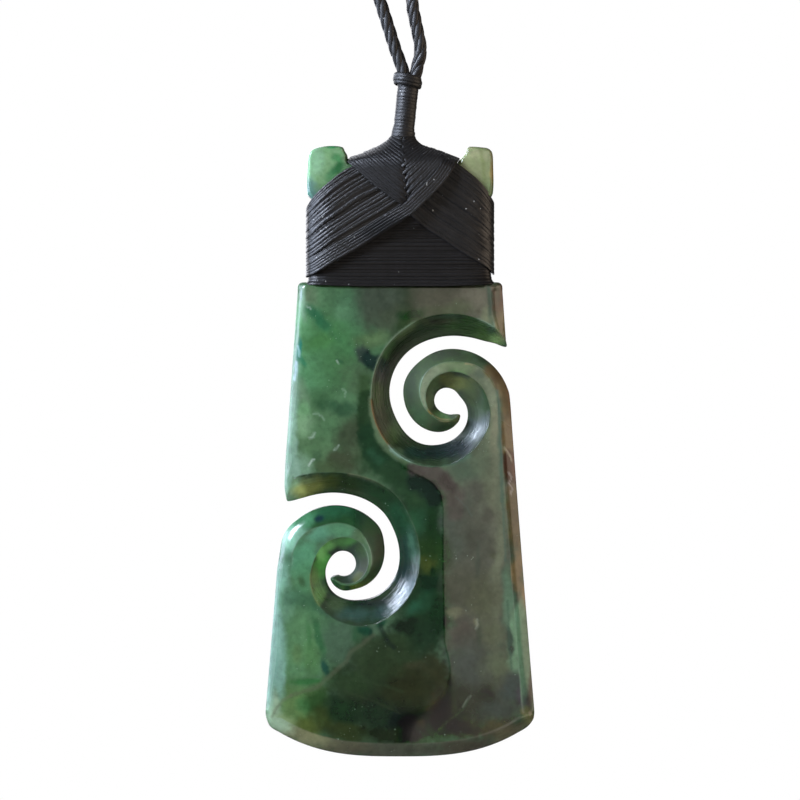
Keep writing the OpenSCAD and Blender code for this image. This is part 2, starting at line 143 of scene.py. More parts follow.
def linear(code):
    """sRGB hex to linear red, green, blue: the standard curve, c/12.92 near black, then a power."""
    c = np.array([int(code[i:i + 2], 16) for i in (1, 3, 5)]) / 255
    return np.where(c <= 0.04045, c / 12.92, ((c + 0.055) / 1.055) ** 2.4)


def ease(low, high, v):
    """Smooth step: 0 below low, 1 above high, 3t^2 - 2t^3 between."""
    t = np.clip((v - low) / (high - low), 0, 1)
    return t * t * (3 - 2 * t)


def hermite(a, b, slope_a, slope_b, w, u):
    """The point at a share u of a stretch w long: the cubic that has both ends' slopes."""
    return (a * (2 * u**3 - 3 * u**2 + 1) + slope_a * w * (u**3 - 2 * u**2 + u)
            + b * (3 * u**2 - 2 * u**3) + slope_b * w * (u**3 - u**2))


def curve(knots, values, at):
    """Cubic Hermite curve through values at knots, with the slope of each knot's two neighbours."""
    knots, values = np.asarray(knots, float), np.asarray(values, float)
    low, high = np.r_[0, np.arange(len(knots) - 1)], np.r_[np.arange(1, len(knots)), len(knots) - 1]
    shape = (-1,) + (1,) * (values.ndim - 1)
    slope = (values[high] - values[low]) / (knots[high] - knots[low]).reshape(shape)
    i = np.clip(np.searchsorted(knots, at, side="right") - 1, 0, len(knots) - 2)
    w = knots[i + 1] - knots[i]
    u = ((at - knots[i]) / w).reshape(at.shape + (1,) * (values.ndim - 1))
    w = w.reshape(u.shape)
    return hermite(values[i], values[i + 1], slope[i], slope[i + 1], w, u)


def run_length(points):
    """Way along a row of points, from 0 at the first."""
    return np.r_[0, np.cumsum(np.linalg.norm(np.diff(points, axis=0), axis=1))]


def along(points, count):
    """Points at even steps of length along the smooth curve through the given ones."""
    points = np.asarray(points, float)
    far = run_length(points)
    return curve(far, points, np.linspace(0, far[-1], count))


def unit(vectors):
    """The same directions with length one."""
    return vectors / np.linalg.norm(vectors, axis=-1, keepdims=True)


def from_eye(x, h, eye):
    """Distance from a spiral's eye."""
    return np.hypot(x - eye[0], h - eye[1])


def to_frame(p):
    """Pendant millimetres (x, y, h) to the frame's metres."""
    return (np.asarray(p, float) + [0, PENDANT_Y, PENDANT_Z]) / 1000


def lattice(x, y, seed, cells=64):
    """Value noise from 0 to 1: random numbers on a unit lattice, joined by smooth steps."""
    table = np.random.default_rng(seed).random((cells, cells))
    i, j = np.floor(x).astype(int), np.floor(y).astype(int)
    u, v = ease(0, 1, x - i), ease(0, 1, y - j)
    a, b = table[i % cells, j % cells], table[(i + 1) % cells, j % cells]
    c, d = table[i % cells, (j + 1) % cells], table[(i + 1) % cells, (j + 1) % cells]
    return (a * (1 - u) + b * u) * (1 - v) + (c * (1 - u) + d * u) * v


def cloud(x, y, size, seed, octaves=4):
    """Cloudy noise from 0 to 1: layers of lattice noise, each half as large and half as strong as
    the one before, and shifted against it."""
    shift_x, shift_y = 7.3, 3.1
    total, weight = 0, 0
    for k in range(octaves):
        total = total + lattice(x * 2**k / size + shift_x * k, y * 2**k / size + shift_y * k,
                                seed + k) / 2**k
        weight += 1 / 2**k
    return total / weight


def add_piece(name, verts, faces, material, cad_node, colours=None, vectors=None,
              uneven=None):
    """A mesh from whole arrays of metres and face corners, smooth shaded, in place of a CAD
    node. Faces of uneven corner count come as one row of corners and their counts."""
    mesh = bpy.data.meshes.new(name)
    counts = np.full(len(faces), faces.shape[1]) if uneven is None else uneven
    corners = faces.ravel() if uneven is None else faces
    mesh.vertices.add(len(verts))
    mesh.vertices.foreach_set("co", verts.astype(np.float32).ravel())
    mesh.loops.add(len(corners))
    mesh.loops.foreach_set("vertex_index", corners.astype(np.int32))
    mesh.polygons.add(len(counts))
    mesh.polygons.foreach_set("loop_start", np.r_[0, np.cumsum(counts)[:-1]].astype(np.int32))
    mesh.polygons.foreach_set("use_smooth", np.ones(len(counts), bool))
    mesh.update(calc_edges=True)
    mesh.validate()
    for key, values in (colours or {}).items():
        layer = mesh.attributes.new(key, "FLOAT_COLOR", "POINT")
        opaque = np.c_[values, np.ones(len(values))]
        layer.data.foreach_set("color", opaque.astype(np.float32).ravel())
    for key, values in (vectors or {}).items():
        layer = mesh.attributes.new(key, "FLOAT_VECTOR", "POINT")
        layer.data.foreach_set("vector", values.astype(np.float32).ravel())
    mesh.materials.append(material)
    piece = bpy.data.objects.new(name, mesh)
    bpy.context.scene.collection.objects.link(piece)
    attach(piece, "root")
    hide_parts(cad_node)
    return piece


# Materials

def new_material(name):
    """A material without nodes, and the tree that takes them."""
    material = bpy.data.materials.new(name)
    material.use_nodes = True
    material.node_tree.nodes.clear()
    return material, material.node_tree


def node(tree, kind, settings=None, links=None, values=None):
    """Adds one node: its settings by name, its links by input, its constants by input."""
    made = tree.nodes.new(kind)
    for key, value in (settings or {}).items():
        setattr(made, key, value)
    for key, value in (values or {}).items():
        made.inputs[key].default_value = value
    for key, socket in (links or {}).items():
        tree.links.new(socket, made.inputs[key])
    return made


def attribute(tree, name, output):
    """A value that the mesh carries at its points."""
    return node(tree, "ShaderNodeAttribute", {"attribute_name": name}).outputs[output]


def maths(tree, operation, *terms):
    """A sum, product or the like, of sockets and numbers."""
    values = {k: float(term) for k, term in enumerate(terms) if isinstance(term, (int, float))}
    links = {k: term for k, term in enumerate(terms) if k not in values}
    return node(tree, "ShaderNodeMath", {"operation": operation}, links, values).outputs[0]


def noise(tree, place, scale, detail, rough=0.5):
    """Cloudy noise about 0.5; the scale is cells to the place's unit."""
    return node(tree, "ShaderNodeTexNoise", None, {"Vector": place},
                {"Scale": scale, "Detail": detail, "Roughness": rough}).outputs["Fac"]


def stretched(tree, place, scale):
    """A place stretched or pressed by a scale on each axis."""
    return node(tree, "ShaderNodeMapping", None, {"Vector": place},
                {"Scale": scale}).outputs["Vector"]


def ranged(tree, value, low, high, from_low=0.0, from_high=1.0):
    """A value led from one range to another and held at its ends."""
    return node(tree, "ShaderNodeMapRange", None, {"Value": value},
                {"From Min": from_low, "From Max": from_high, "To Min": low,
                 "To Max": high}).outputs[0]


def flecked(tree, colour, share, fleck):
    """A colour with flecks of another laid over it."""
    return node(tree, "ShaderNodeMix", {"data_type": "RGBA"}, {"Factor": share, "A": colour},
                {"B": (*linear(fleck), 1)}).outputs["Result"]


def bumped(tree, height, strength, depth):
    """Normals bent by a height; the depth is in metres."""
    return node(tree, "ShaderNodeBump", None, {"Height": height},
                {"Strength": strength, "Distance": depth}).outputs["Normal"]


def ramp(tree, factor, stops):
    """A colour ramp over (position, grey or hex) stops."""
    made = node(tree, "ShaderNodeValToRGB", links={"Fac": factor})
    while len(made.color_ramp.elements) < len(stops):
        made.color_ramp.elements.new(1)
    for element, (at, tone) in zip(made.color_ramp.elements, stops):
        element.position = at
        element.color = (*(linear(tone) if isinstance(tone, str) else (tone,) * 3), 1)
    return made.outputs["Color"]


def skinned(tree, colour, rough, normal, values):
    """The surface itself, led to the output."""
    skin = node(tree, "ShaderNodeBsdfPrincipled", None,
                {"Base Color": colour, "Roughness": rough, "Normal": normal}, values)
    node(tree, "ShaderNodeOutputMaterial", None, {"Surface": skin.outputs["BSDF"]})


def greenstone_material():
    """Polished nephrite: clear and deep, with a mirror gleam on the flat face, softer and finely
    lined polish in the carved hollows, felted fibre within, and pale specks of wear."""
    line_dull, wear_height = 0.24, 0.02
    material, tree = new_material("Polished_nephrite")
    place = node(tree, "ShaderNodeTexCoord").outputs["Object"]
    stain = attribute(tree, "Stone_colour", "Color")
    grain = attribute(tree, "Carving", "Vector")
    polished = attribute(tree, "Polish", "Fac")
    carved = node(tree, "ShaderNodeSeparateXYZ", None, {"Vector": grain}).outputs["Z"]
    # Felted fibre, about 0.8 mm across
    felt = noise(tree, place, 1250.0, 6.0, 0.78)
    mottle = ramp(tree, felt, [(0.3, 0.72), (0.5, 0.96), (0.7, 1.0)])
    tinted = node(tree, "ShaderNodeMix", {"data_type": "RGBA", "blend_type": "MULTIPLY"},
                  {"A": stain, "B": mottle}, {"Factor": 0.8}).outputs["Result"]
    # Pale specks of wear, under 0.2 mm, in some places only
    dust = ramp(tree, noise(tree, place, 3800.0, 1.0), [(0.75, 0.0), (0.79, 1.0)])
    patchy = ramp(tree, noise(tree, place, 260.0, 1.0), [(0.52, 0.0), (0.64, 0.6)])
    colour = flecked(tree, tinted, maths(tree, "MULTIPLY", dust, patchy), "#9DB59B")
    # Polishing lines that follow the carving, about 0.2 mm wide and 6 mm long
    lines = stretched(tree, grain, (1.0, 0.04, 1.0))
    ploughed = maths(tree, "MULTIPLY", noise(tree, lines, 4.4, 3.0, 0.66), carved)
    # Slight unevenness of the polish, about 1.4 mm across
    worn = noise(tree, place, 700.0, 5.0, 0.6)
    gloss = maths(tree, "MULTIPLY_ADD", ploughed, line_dull, polished)
    height = maths(tree, "MULTIPLY_ADD", worn, wear_height, ploughed)
    skinned(tree, colour, gloss, bumped(tree, height, 0.6, 0.00013),
            {"IOR": 1.61, "Subsurface Weight": 0.25, "Subsurface Scale": 0.0016,
             "Subsurface Radius": (0.5, 1.0, 0.55)})
    return material


def thread_material(name, dark, pale, rough, ior, twist_mm, strands, depth):
    """Waxed thread: black fibre pressed flat in a satin coat of wax, so that the window runs
    along it as a cool sheen, dull where two threads meet; fibres drawn out along the twist,
    and a little pale lint."""
    twist_height, smoother, rougher, meeting_dull = 0.16, 0.07, 0.1, 0.36
    material, tree = new_material(name)
    place = node(tree, "ShaderNodeTexCoord").outputs["Object"]
    strand = attribute(tree, "Strand", "Vector")
    part = node(tree, "ShaderNodeSeparateXYZ", None, {"Vector": strand}).outputs
    # The twist: a sine of the way along and of the turns round the thread
    angle = maths(tree, "ARCTAN2", part["Y"], part["X"])
    turns = maths(tree, "MULTIPLY", angle, strands)
    phase = maths(tree, "MULTIPLY_ADD", part["Z"], 2 * np.pi * strands / twist_mm, turns)
    wave = maths(tree, "SINE", phase)
    # Fibres under 0.1 mm wide and about 1 mm long
    fibre = noise(tree, stretched(tree, strand, (1.6, 1.6, 0.5)), 2.2, 4.0, 0.7)
    height = maths(tree, "MULTIPLY_ADD", wave, twist_height, fibre)
    # Shades about 1 mm across, and lint under 0.4 mm
    tone = ramp(tree, noise(tree, place, 900.0, 5.0, 0.7), [(0.3, dark), (0.7, pale)])
    lint = ramp(tree, noise(tree, place, 2300.0, 0.0), [(0.84, 0.0), (0.86, 0.9)])
    colour = flecked(tree, tone, lint, "#9A9A96")
    gloss = ranged(tree, fibre, rough - smoother, rough + rougher, 0.3, 0.7)
    crown = maths(tree, "ABSOLUTE", part["X"])
    meeting = ranged(tree, crown, meeting_dull, 0.0, 0.2, 0.8)
    skinned(tree, colour, maths(tree, "ADD", gloss, meeting), bumped(tree, height, 0.8, depth),
            {"IOR": ior})
    return material


# The stone's outline: columns rim x, rim h, ridge x, ridge h, inset, half edge, share, zone.
# Its zones, by what is cut between rim and ridge:
FACE, FLUTE, ARM, RIND, LEFT, BLADE = 0, 1, 2, 3, 4, 5


def rows(points, ridge=None, inset=0.0, edge=EDGE_T, share=ROUND, zone=FACE):
    """Rows of the outline; without a ridge it lies the inset inwards, found later."""
    points = np.atleast_2d(np.asarray(points, float))
    ridge = np.full_like(points, np.nan) if ridge is None else np.atleast_2d(ridge)
    rest = np.tile([inset, edge / 2, share, zone], (len(points), 1))
    return np.c_[points, ridge, rest]


def side_w(h):
    """Half width of the body at height h: straight from shoulder to corner, a little hollow."""
    u = (SHOULDER_H - h) / (SHOULDER_H - CORNER_H)
    return BODY_TOP_W + (BODY_BASE_W - BODY_TOP_W) * u - SIDE_HOLLOW * np.sin(np.pi * u)


def about(eye, side, turn, r):
    """Point at a turn and radius about an eye, mirrored where side is -1."""
    a = np.radians(turn)
    return np.stack([eye[0] + side * r * np.cos(a), eye[1] + r * np.sin(a)], -1)


def spiral_rows(eye, side, table, soft, edge, zone, lip=0):
    """One side of a spiral opening: the cut's edge, and the ridge that ends its flute or bevel.
    At the lip the ridge is held back to a crawl, so that it runs out into the body's edge."""
    held_turn, crawl = 2, 8
    turn = np.arange(table[0, 0], table[-1, 0] + 0.01, SLOT_STEP)
    held = np.where(turn < lip + held_turn, lip + (turn - table[0, 0]) / crawl, turn)
    made = rows(about(eye, side, turn, curve(table[:, 0], table[:, 1], turn)),
                about(eye, side, held, curve(table[:, 0], table[:, 2], held)), edge=edge, zone=zone)
    made[:, 6] = np.interp(turn, soft[:, 0], soft[:, 1])
    return made


def tip_row(eye, side):
    """The end of an arm."""
    return rows(about(eye, side, TIP_TURN, TIP_R),
                about(eye, side, TIP_TURN - SLOT_STEP, TIP_R - TIP_BEVEL),
                edge=ARM_EDGE_T, share=STRAIGHT, zone=ARM)


def side_rows(side, heights, w, zone):
    """Rows up or down one side of the body; the left edge's width wavers by a sine."""
    waver, waves = 0.22, 1.7
    h = np.asarray(heights, float)
    made = rows(np.c_[side * side_w(h), h], inset=w, zone=zone,
                share=ROUND if zone == LEFT else RIND_ROUND)
    made[:, 4] *= 1 + waver * np.sin(waves * h + 1) * (zone == LEFT)
    return made


def shoulder_rows(side, w, zone):
    """The step from the waist under the binding out to the body's side: rim and ridge points."""
    d, out = side_w(64.6) - w, side_w(SHOULDER_H)
    rim = [[WAIST_W, SHOULDER_H + 0.05], [WAIST_W + 0.05, SHOULDER_H], [out - 0.4, SHOULDER_H],
           [side_w(65.3), 65.3]]
    ridge = [[WAIST_W - 0.6, 65.4], [WAIST_W - 0.4, 65.1], [d - 0.15, 64.95], [d - 0.02, 64.8]]
    return rows(np.array(rim) * [side, 1], np.array(ridge) * [side, 1], zone=zone)


def blade_corner(side):
    """The two points that round a corner of the blade."""
    points = np.array([[side * BODY_BASE_W, 5.9], [side * (BODY_BASE_W - 0.15), 5.2]])
    return rows(points, inset=CORNER_BEVEL, edge=CORNER_EDGE_T, zone=BLADE)


def blade_rows():
    """The bevelled blade: a flat curve by a power of the way out; its bevel line is crisp in the
    middle and rounds off towards the corners."""
    power, share, corner_share = 2.9, 0.7, 0.16
    u = np.arange(-0.98, 0.981, 0.07)
    made = rows(np.c_[BLADE_X + BLADE_W * u, BLADE_RISE * np.abs(u) ** power], inset=BLADE_BEVEL,
                edge=BLADE_EDGE_T, zone=BLADE)
    made[:, 6] = share + corner_share * ease(0.35, 0.85, np.abs(u))
    return made


def zone_shares(zone, reach):
    """How much of each zone holds at each outline point: averaged twice over its neighbours, so
    that one zone's colour and polish run over into the next."""
    shares = (zone[:, None] == np.arange(BLADE + 1)) * 1.0
    for _ in range(2):
        shares = sum(np.roll(shares, k, 0) for k in range(-reach, reach + 1)) / (2 * reach + 1)
    return shares


def lip_point(eye, side, table, turn):
    """Where an opening's ridge ends at its lip."""
    return about(eye, side, turn, curve(table[:, 0], table[:, 2], np.array(float(turn))))


def stone_outline():
    """All rows round the stone, counterclockwise seen from the front."""
    upper_lip = lip_point(UPPER_EYE, 1, UPPER_SLOT, UPPER_LIP)
    lower_lip = lip_point(LOWER_EYE, -1, LOWER_SLOT, LOWER_LIP)
    head = dict(inset=HEAD_EDGE_W)
    ears = dict(inset=EAR_EDGE_W)
    return np.concatenate([
        rows([[0.5, NOTCH_H], [-6.9, NOTCH_H], [-7.2, NOTCH_H + 0.4]], **head),
        rows(LEFT_EAR + [0, EAR_H], **ears),
        rows([[-EAR_W, 82], [-EAR_W, 78], [-WAIST_W, 77], [-WAIST_W, SHOULDER_H + 0.8]], **head),
        shoulder_rows(-1, LEFT_EDGE_W, LEFT),
        side_rows(-1, [64.4, 61, 58, 55, 52, 49, 46, 43, 41], LEFT_EDGE_W, LEFT),
        rows([[-side_w(39) + 0.05, 39], [-side_w(37.4) + 0.15, 37.4], [-15.75, 35.9]],
             [lower_lip + [-d / 2, d] for d in (0.6, 0.4, 0.2)], zone=LEFT),
        spiral_rows(LOWER_EYE, -1, LOWER_SLOT, LOWER_SOFT, SLOT_EDGE_T, FLUTE, LOWER_LIP),
        tip_row(LOWER_EYE, -1),
        spiral_rows(LOWER_EYE, -1, LOWER_ARM, ARM_SOFT, ARM_EDGE_T, ARM)[::-1],
        side_rows(-1, [26, 24, 21, 18, 15, 12, 9, CORNER_H], LEFT_EDGE_W, LEFT),
        blade_corner(-1),
        blade_rows(),
        blade_corner(1)[::-1],
        side_rows(1, [CORNER_H, 10, 16, 22, 28, 34, 40, 45], RIND_W, RIND),
        spiral_rows(UPPER_EYE, 1, UPPER_ARM, ARM_SOFT, ARM_EDGE_T, ARM),
        tip_row(UPPER_EYE, 1),
        spiral_rows(UPPER_EYE, 1, UPPER_SLOT, UPPER_SOFT, SLOT_EDGE_T, FLUTE, UPPER_LIP)[::-1],
        rows([[side_w(57.6), 57.7], [side_w(59), 59]],
             [upper_lip + [-d / 6, d] for d in (0.2, 0.4)], zone=RIND),
        side_rows(1, [61.5, 64.4], RIND_W, RIND),
        shoulder_rows(1, RIND_W, RIND)[::-1],
        rows([[WAIST_W, SHOULDER_H + 0.8], [WAIST_W, 77], [EAR_W, 78]], **head),
        rows(RIGHT_EAR + [0, EAR_H], **ears),
        rows([[8.1, NOTCH_H + 0.3], [7.8, NOTCH_H]], **head)])


def fine_outline(step):
    """The outline with its missing ridges set inwards, then run through by a smooth closed
    curve with points no more than a step apart on rim and ridge."""
    ring = stone_outline()
    run = np.roll(ring[:, :2], -1, 0) - np.roll(ring[:, :2], 1, 0)
    inward = unit(np.c_[-run[:, 1], run[:, 0]])
    missing = np.isnan(ring[:, 2])
    ring[missing, 2:4] = ring[missing, :2] + inward[missing] * ring[missing, 4:5]
    ahead = np.roll(ring, -1, 0)
    gap = np.maximum(np.linalg.norm((ahead - ring)[:, :2], axis=1),
                     np.linalg.norm((ahead - ring)[:, 2:4], axis=1))
    back = np.roll(gap, 1)
    slope = (ahead - np.roll(ring, 1, 0)) / (gap + back)[:, None]
    parts = np.maximum(1, np.ceil(gap / step)).astype(int)
    i = np.repeat(np.arange(len(ring)), parts)
    start = np.repeat(np.cumsum(parts) - parts, parts)
    u = ((np.arange(len(i)) - start) / parts[i])[:, None]
    j, w = (i + 1) % len(ring), gap[i][:, None]
    made = hermite(ring[i], ring[j], slope[i], slope[j], w, u)
    made[:, 4:7] = (ring[i] * (1 - u) + ring[j] * u)[:, 4:7]
    made[:, 7] = np.where(u[:, 0] < 0.5, ring[i, 7], ring[j, 7])
    return made


def hollow(x, h):
    """How far the left field lies below the right one: it slopes down to the left from the
    crease, by 1 in 12 at first, and levels out by an exponential; it runs out towards the top
    and towards the blade, where the crease goes soft."""
    depth, reach, fade = 0.4, 4.8, 3.0
    right = np.maximum(np.interp(h, CREASE[:, 0], CREASE[:, 1]) - x, 0)
    right = right**2 / (right + fade * ease(*SOFT_CREASE_H, h) + 1e-6)
    return depth * (1 - np.exp(-right / reach)) * ease(3, 14, h) * ease(60, 50, h)


def half_thickness(x, h):
    """The stone's flat face: half its thickness, thinner in the head, a little crowned across,
    thinning towards the blade, less the hollow between the korus."""
    crown_drop, crown_w, blade_drop = 0.32, 17, 0.3
    base = np.where(h > STEP_H, HEAD_T / 2, BODY_T / 2)
    crown = crown_drop * np.clip(np.abs(x) / crown_w, 0, 1) ** 2 * (h < STEP_H)
    return base - crown - blade_drop * ease(14, 2, h) - hollow(x, h)


def in_chunks(points, size=2000):
    """Numbers of the points in short runs, to keep the tables between points and ring small."""
    return np.array_split(np.arange(len(points)), max(1, len(points) // size))


def inside(points, ring):
    """Whether points lie in a closed outline: a line to the right crosses it an odd number of
    times."""
    a, b = ring, np.roll(ring, -1, 0)
    found = np.zeros(len(points), bool)
    for chunk in in_chunks(points):
        x, h = points[chunk, 0][:, None], points[chunk, 1][:, None]
        spans = (a[:, 1] > h) != (b[:, 1] > h)
        rise = np.where(b[:, 1] == a[:, 1], 1, b[:, 1] - a[:, 1])
        crossing = a[:, 0] + (h - a[:, 1]) * (b[:, 0] - a[:, 0]) / rise
        found[chunk] = (spans & (x < crossing)).sum(1) % 2 == 1
    return found


def nearest(points, ring):
    """Distance from each point to the nearest of the ring's points."""
    found = np.zeros(len(points))
    for chunk in in_chunks(points):
        gap = points[chunk][:, None] - ring[None]
        found[chunk] = np.sqrt((gap**2).sum(-1).min(1))
    return found


# Polish, as roughness: the flat face, and what the zones add to it; what the rind and the left
# edge add towards their cut edge; and what is added close to the eyes, on the upper flute, on
# the upper arm, on the right of the lower arm and low on the right
FACE_ROUGH, ZONE_DULL = 0.05, [0, 0.02, 0.08, 0.05, 0, 0.1]
RIND_DULL, LEFT_DULL, EYE_DULL, UPPER_FLUTE_DULL = 0.14, 0.3, 0.5, 0.1
UPPER_ARM_DULL, LOWER_ARM_DULL, LOW_DULL = 0.6, 0.34, 0.17
# How clearly the polishing lines show on the arms, against the flutes
ARM_GRAIN = 0.35

# Colours of the stone, placed on the front view in 800ths of its height (right, down):
# where the stone's middle and foot lie there, and 800ths to the millimetre
VIEW_X, VIEW_FOOT, VIEW_PER_MM = 400, 756, 7.2
# How much light falls on the front, to which the colours as they look are set
LIGHT = 1.45
# The fill lights are a little cool, the stone a little warm, and so are the walls it mirrors;
# no part of the stone is darker than the last number
HUE, WALL_TINT, DARKEST = np.array([1.1, 1.0, 0.94]), [1.06, 1.0, 0.94], 0.004
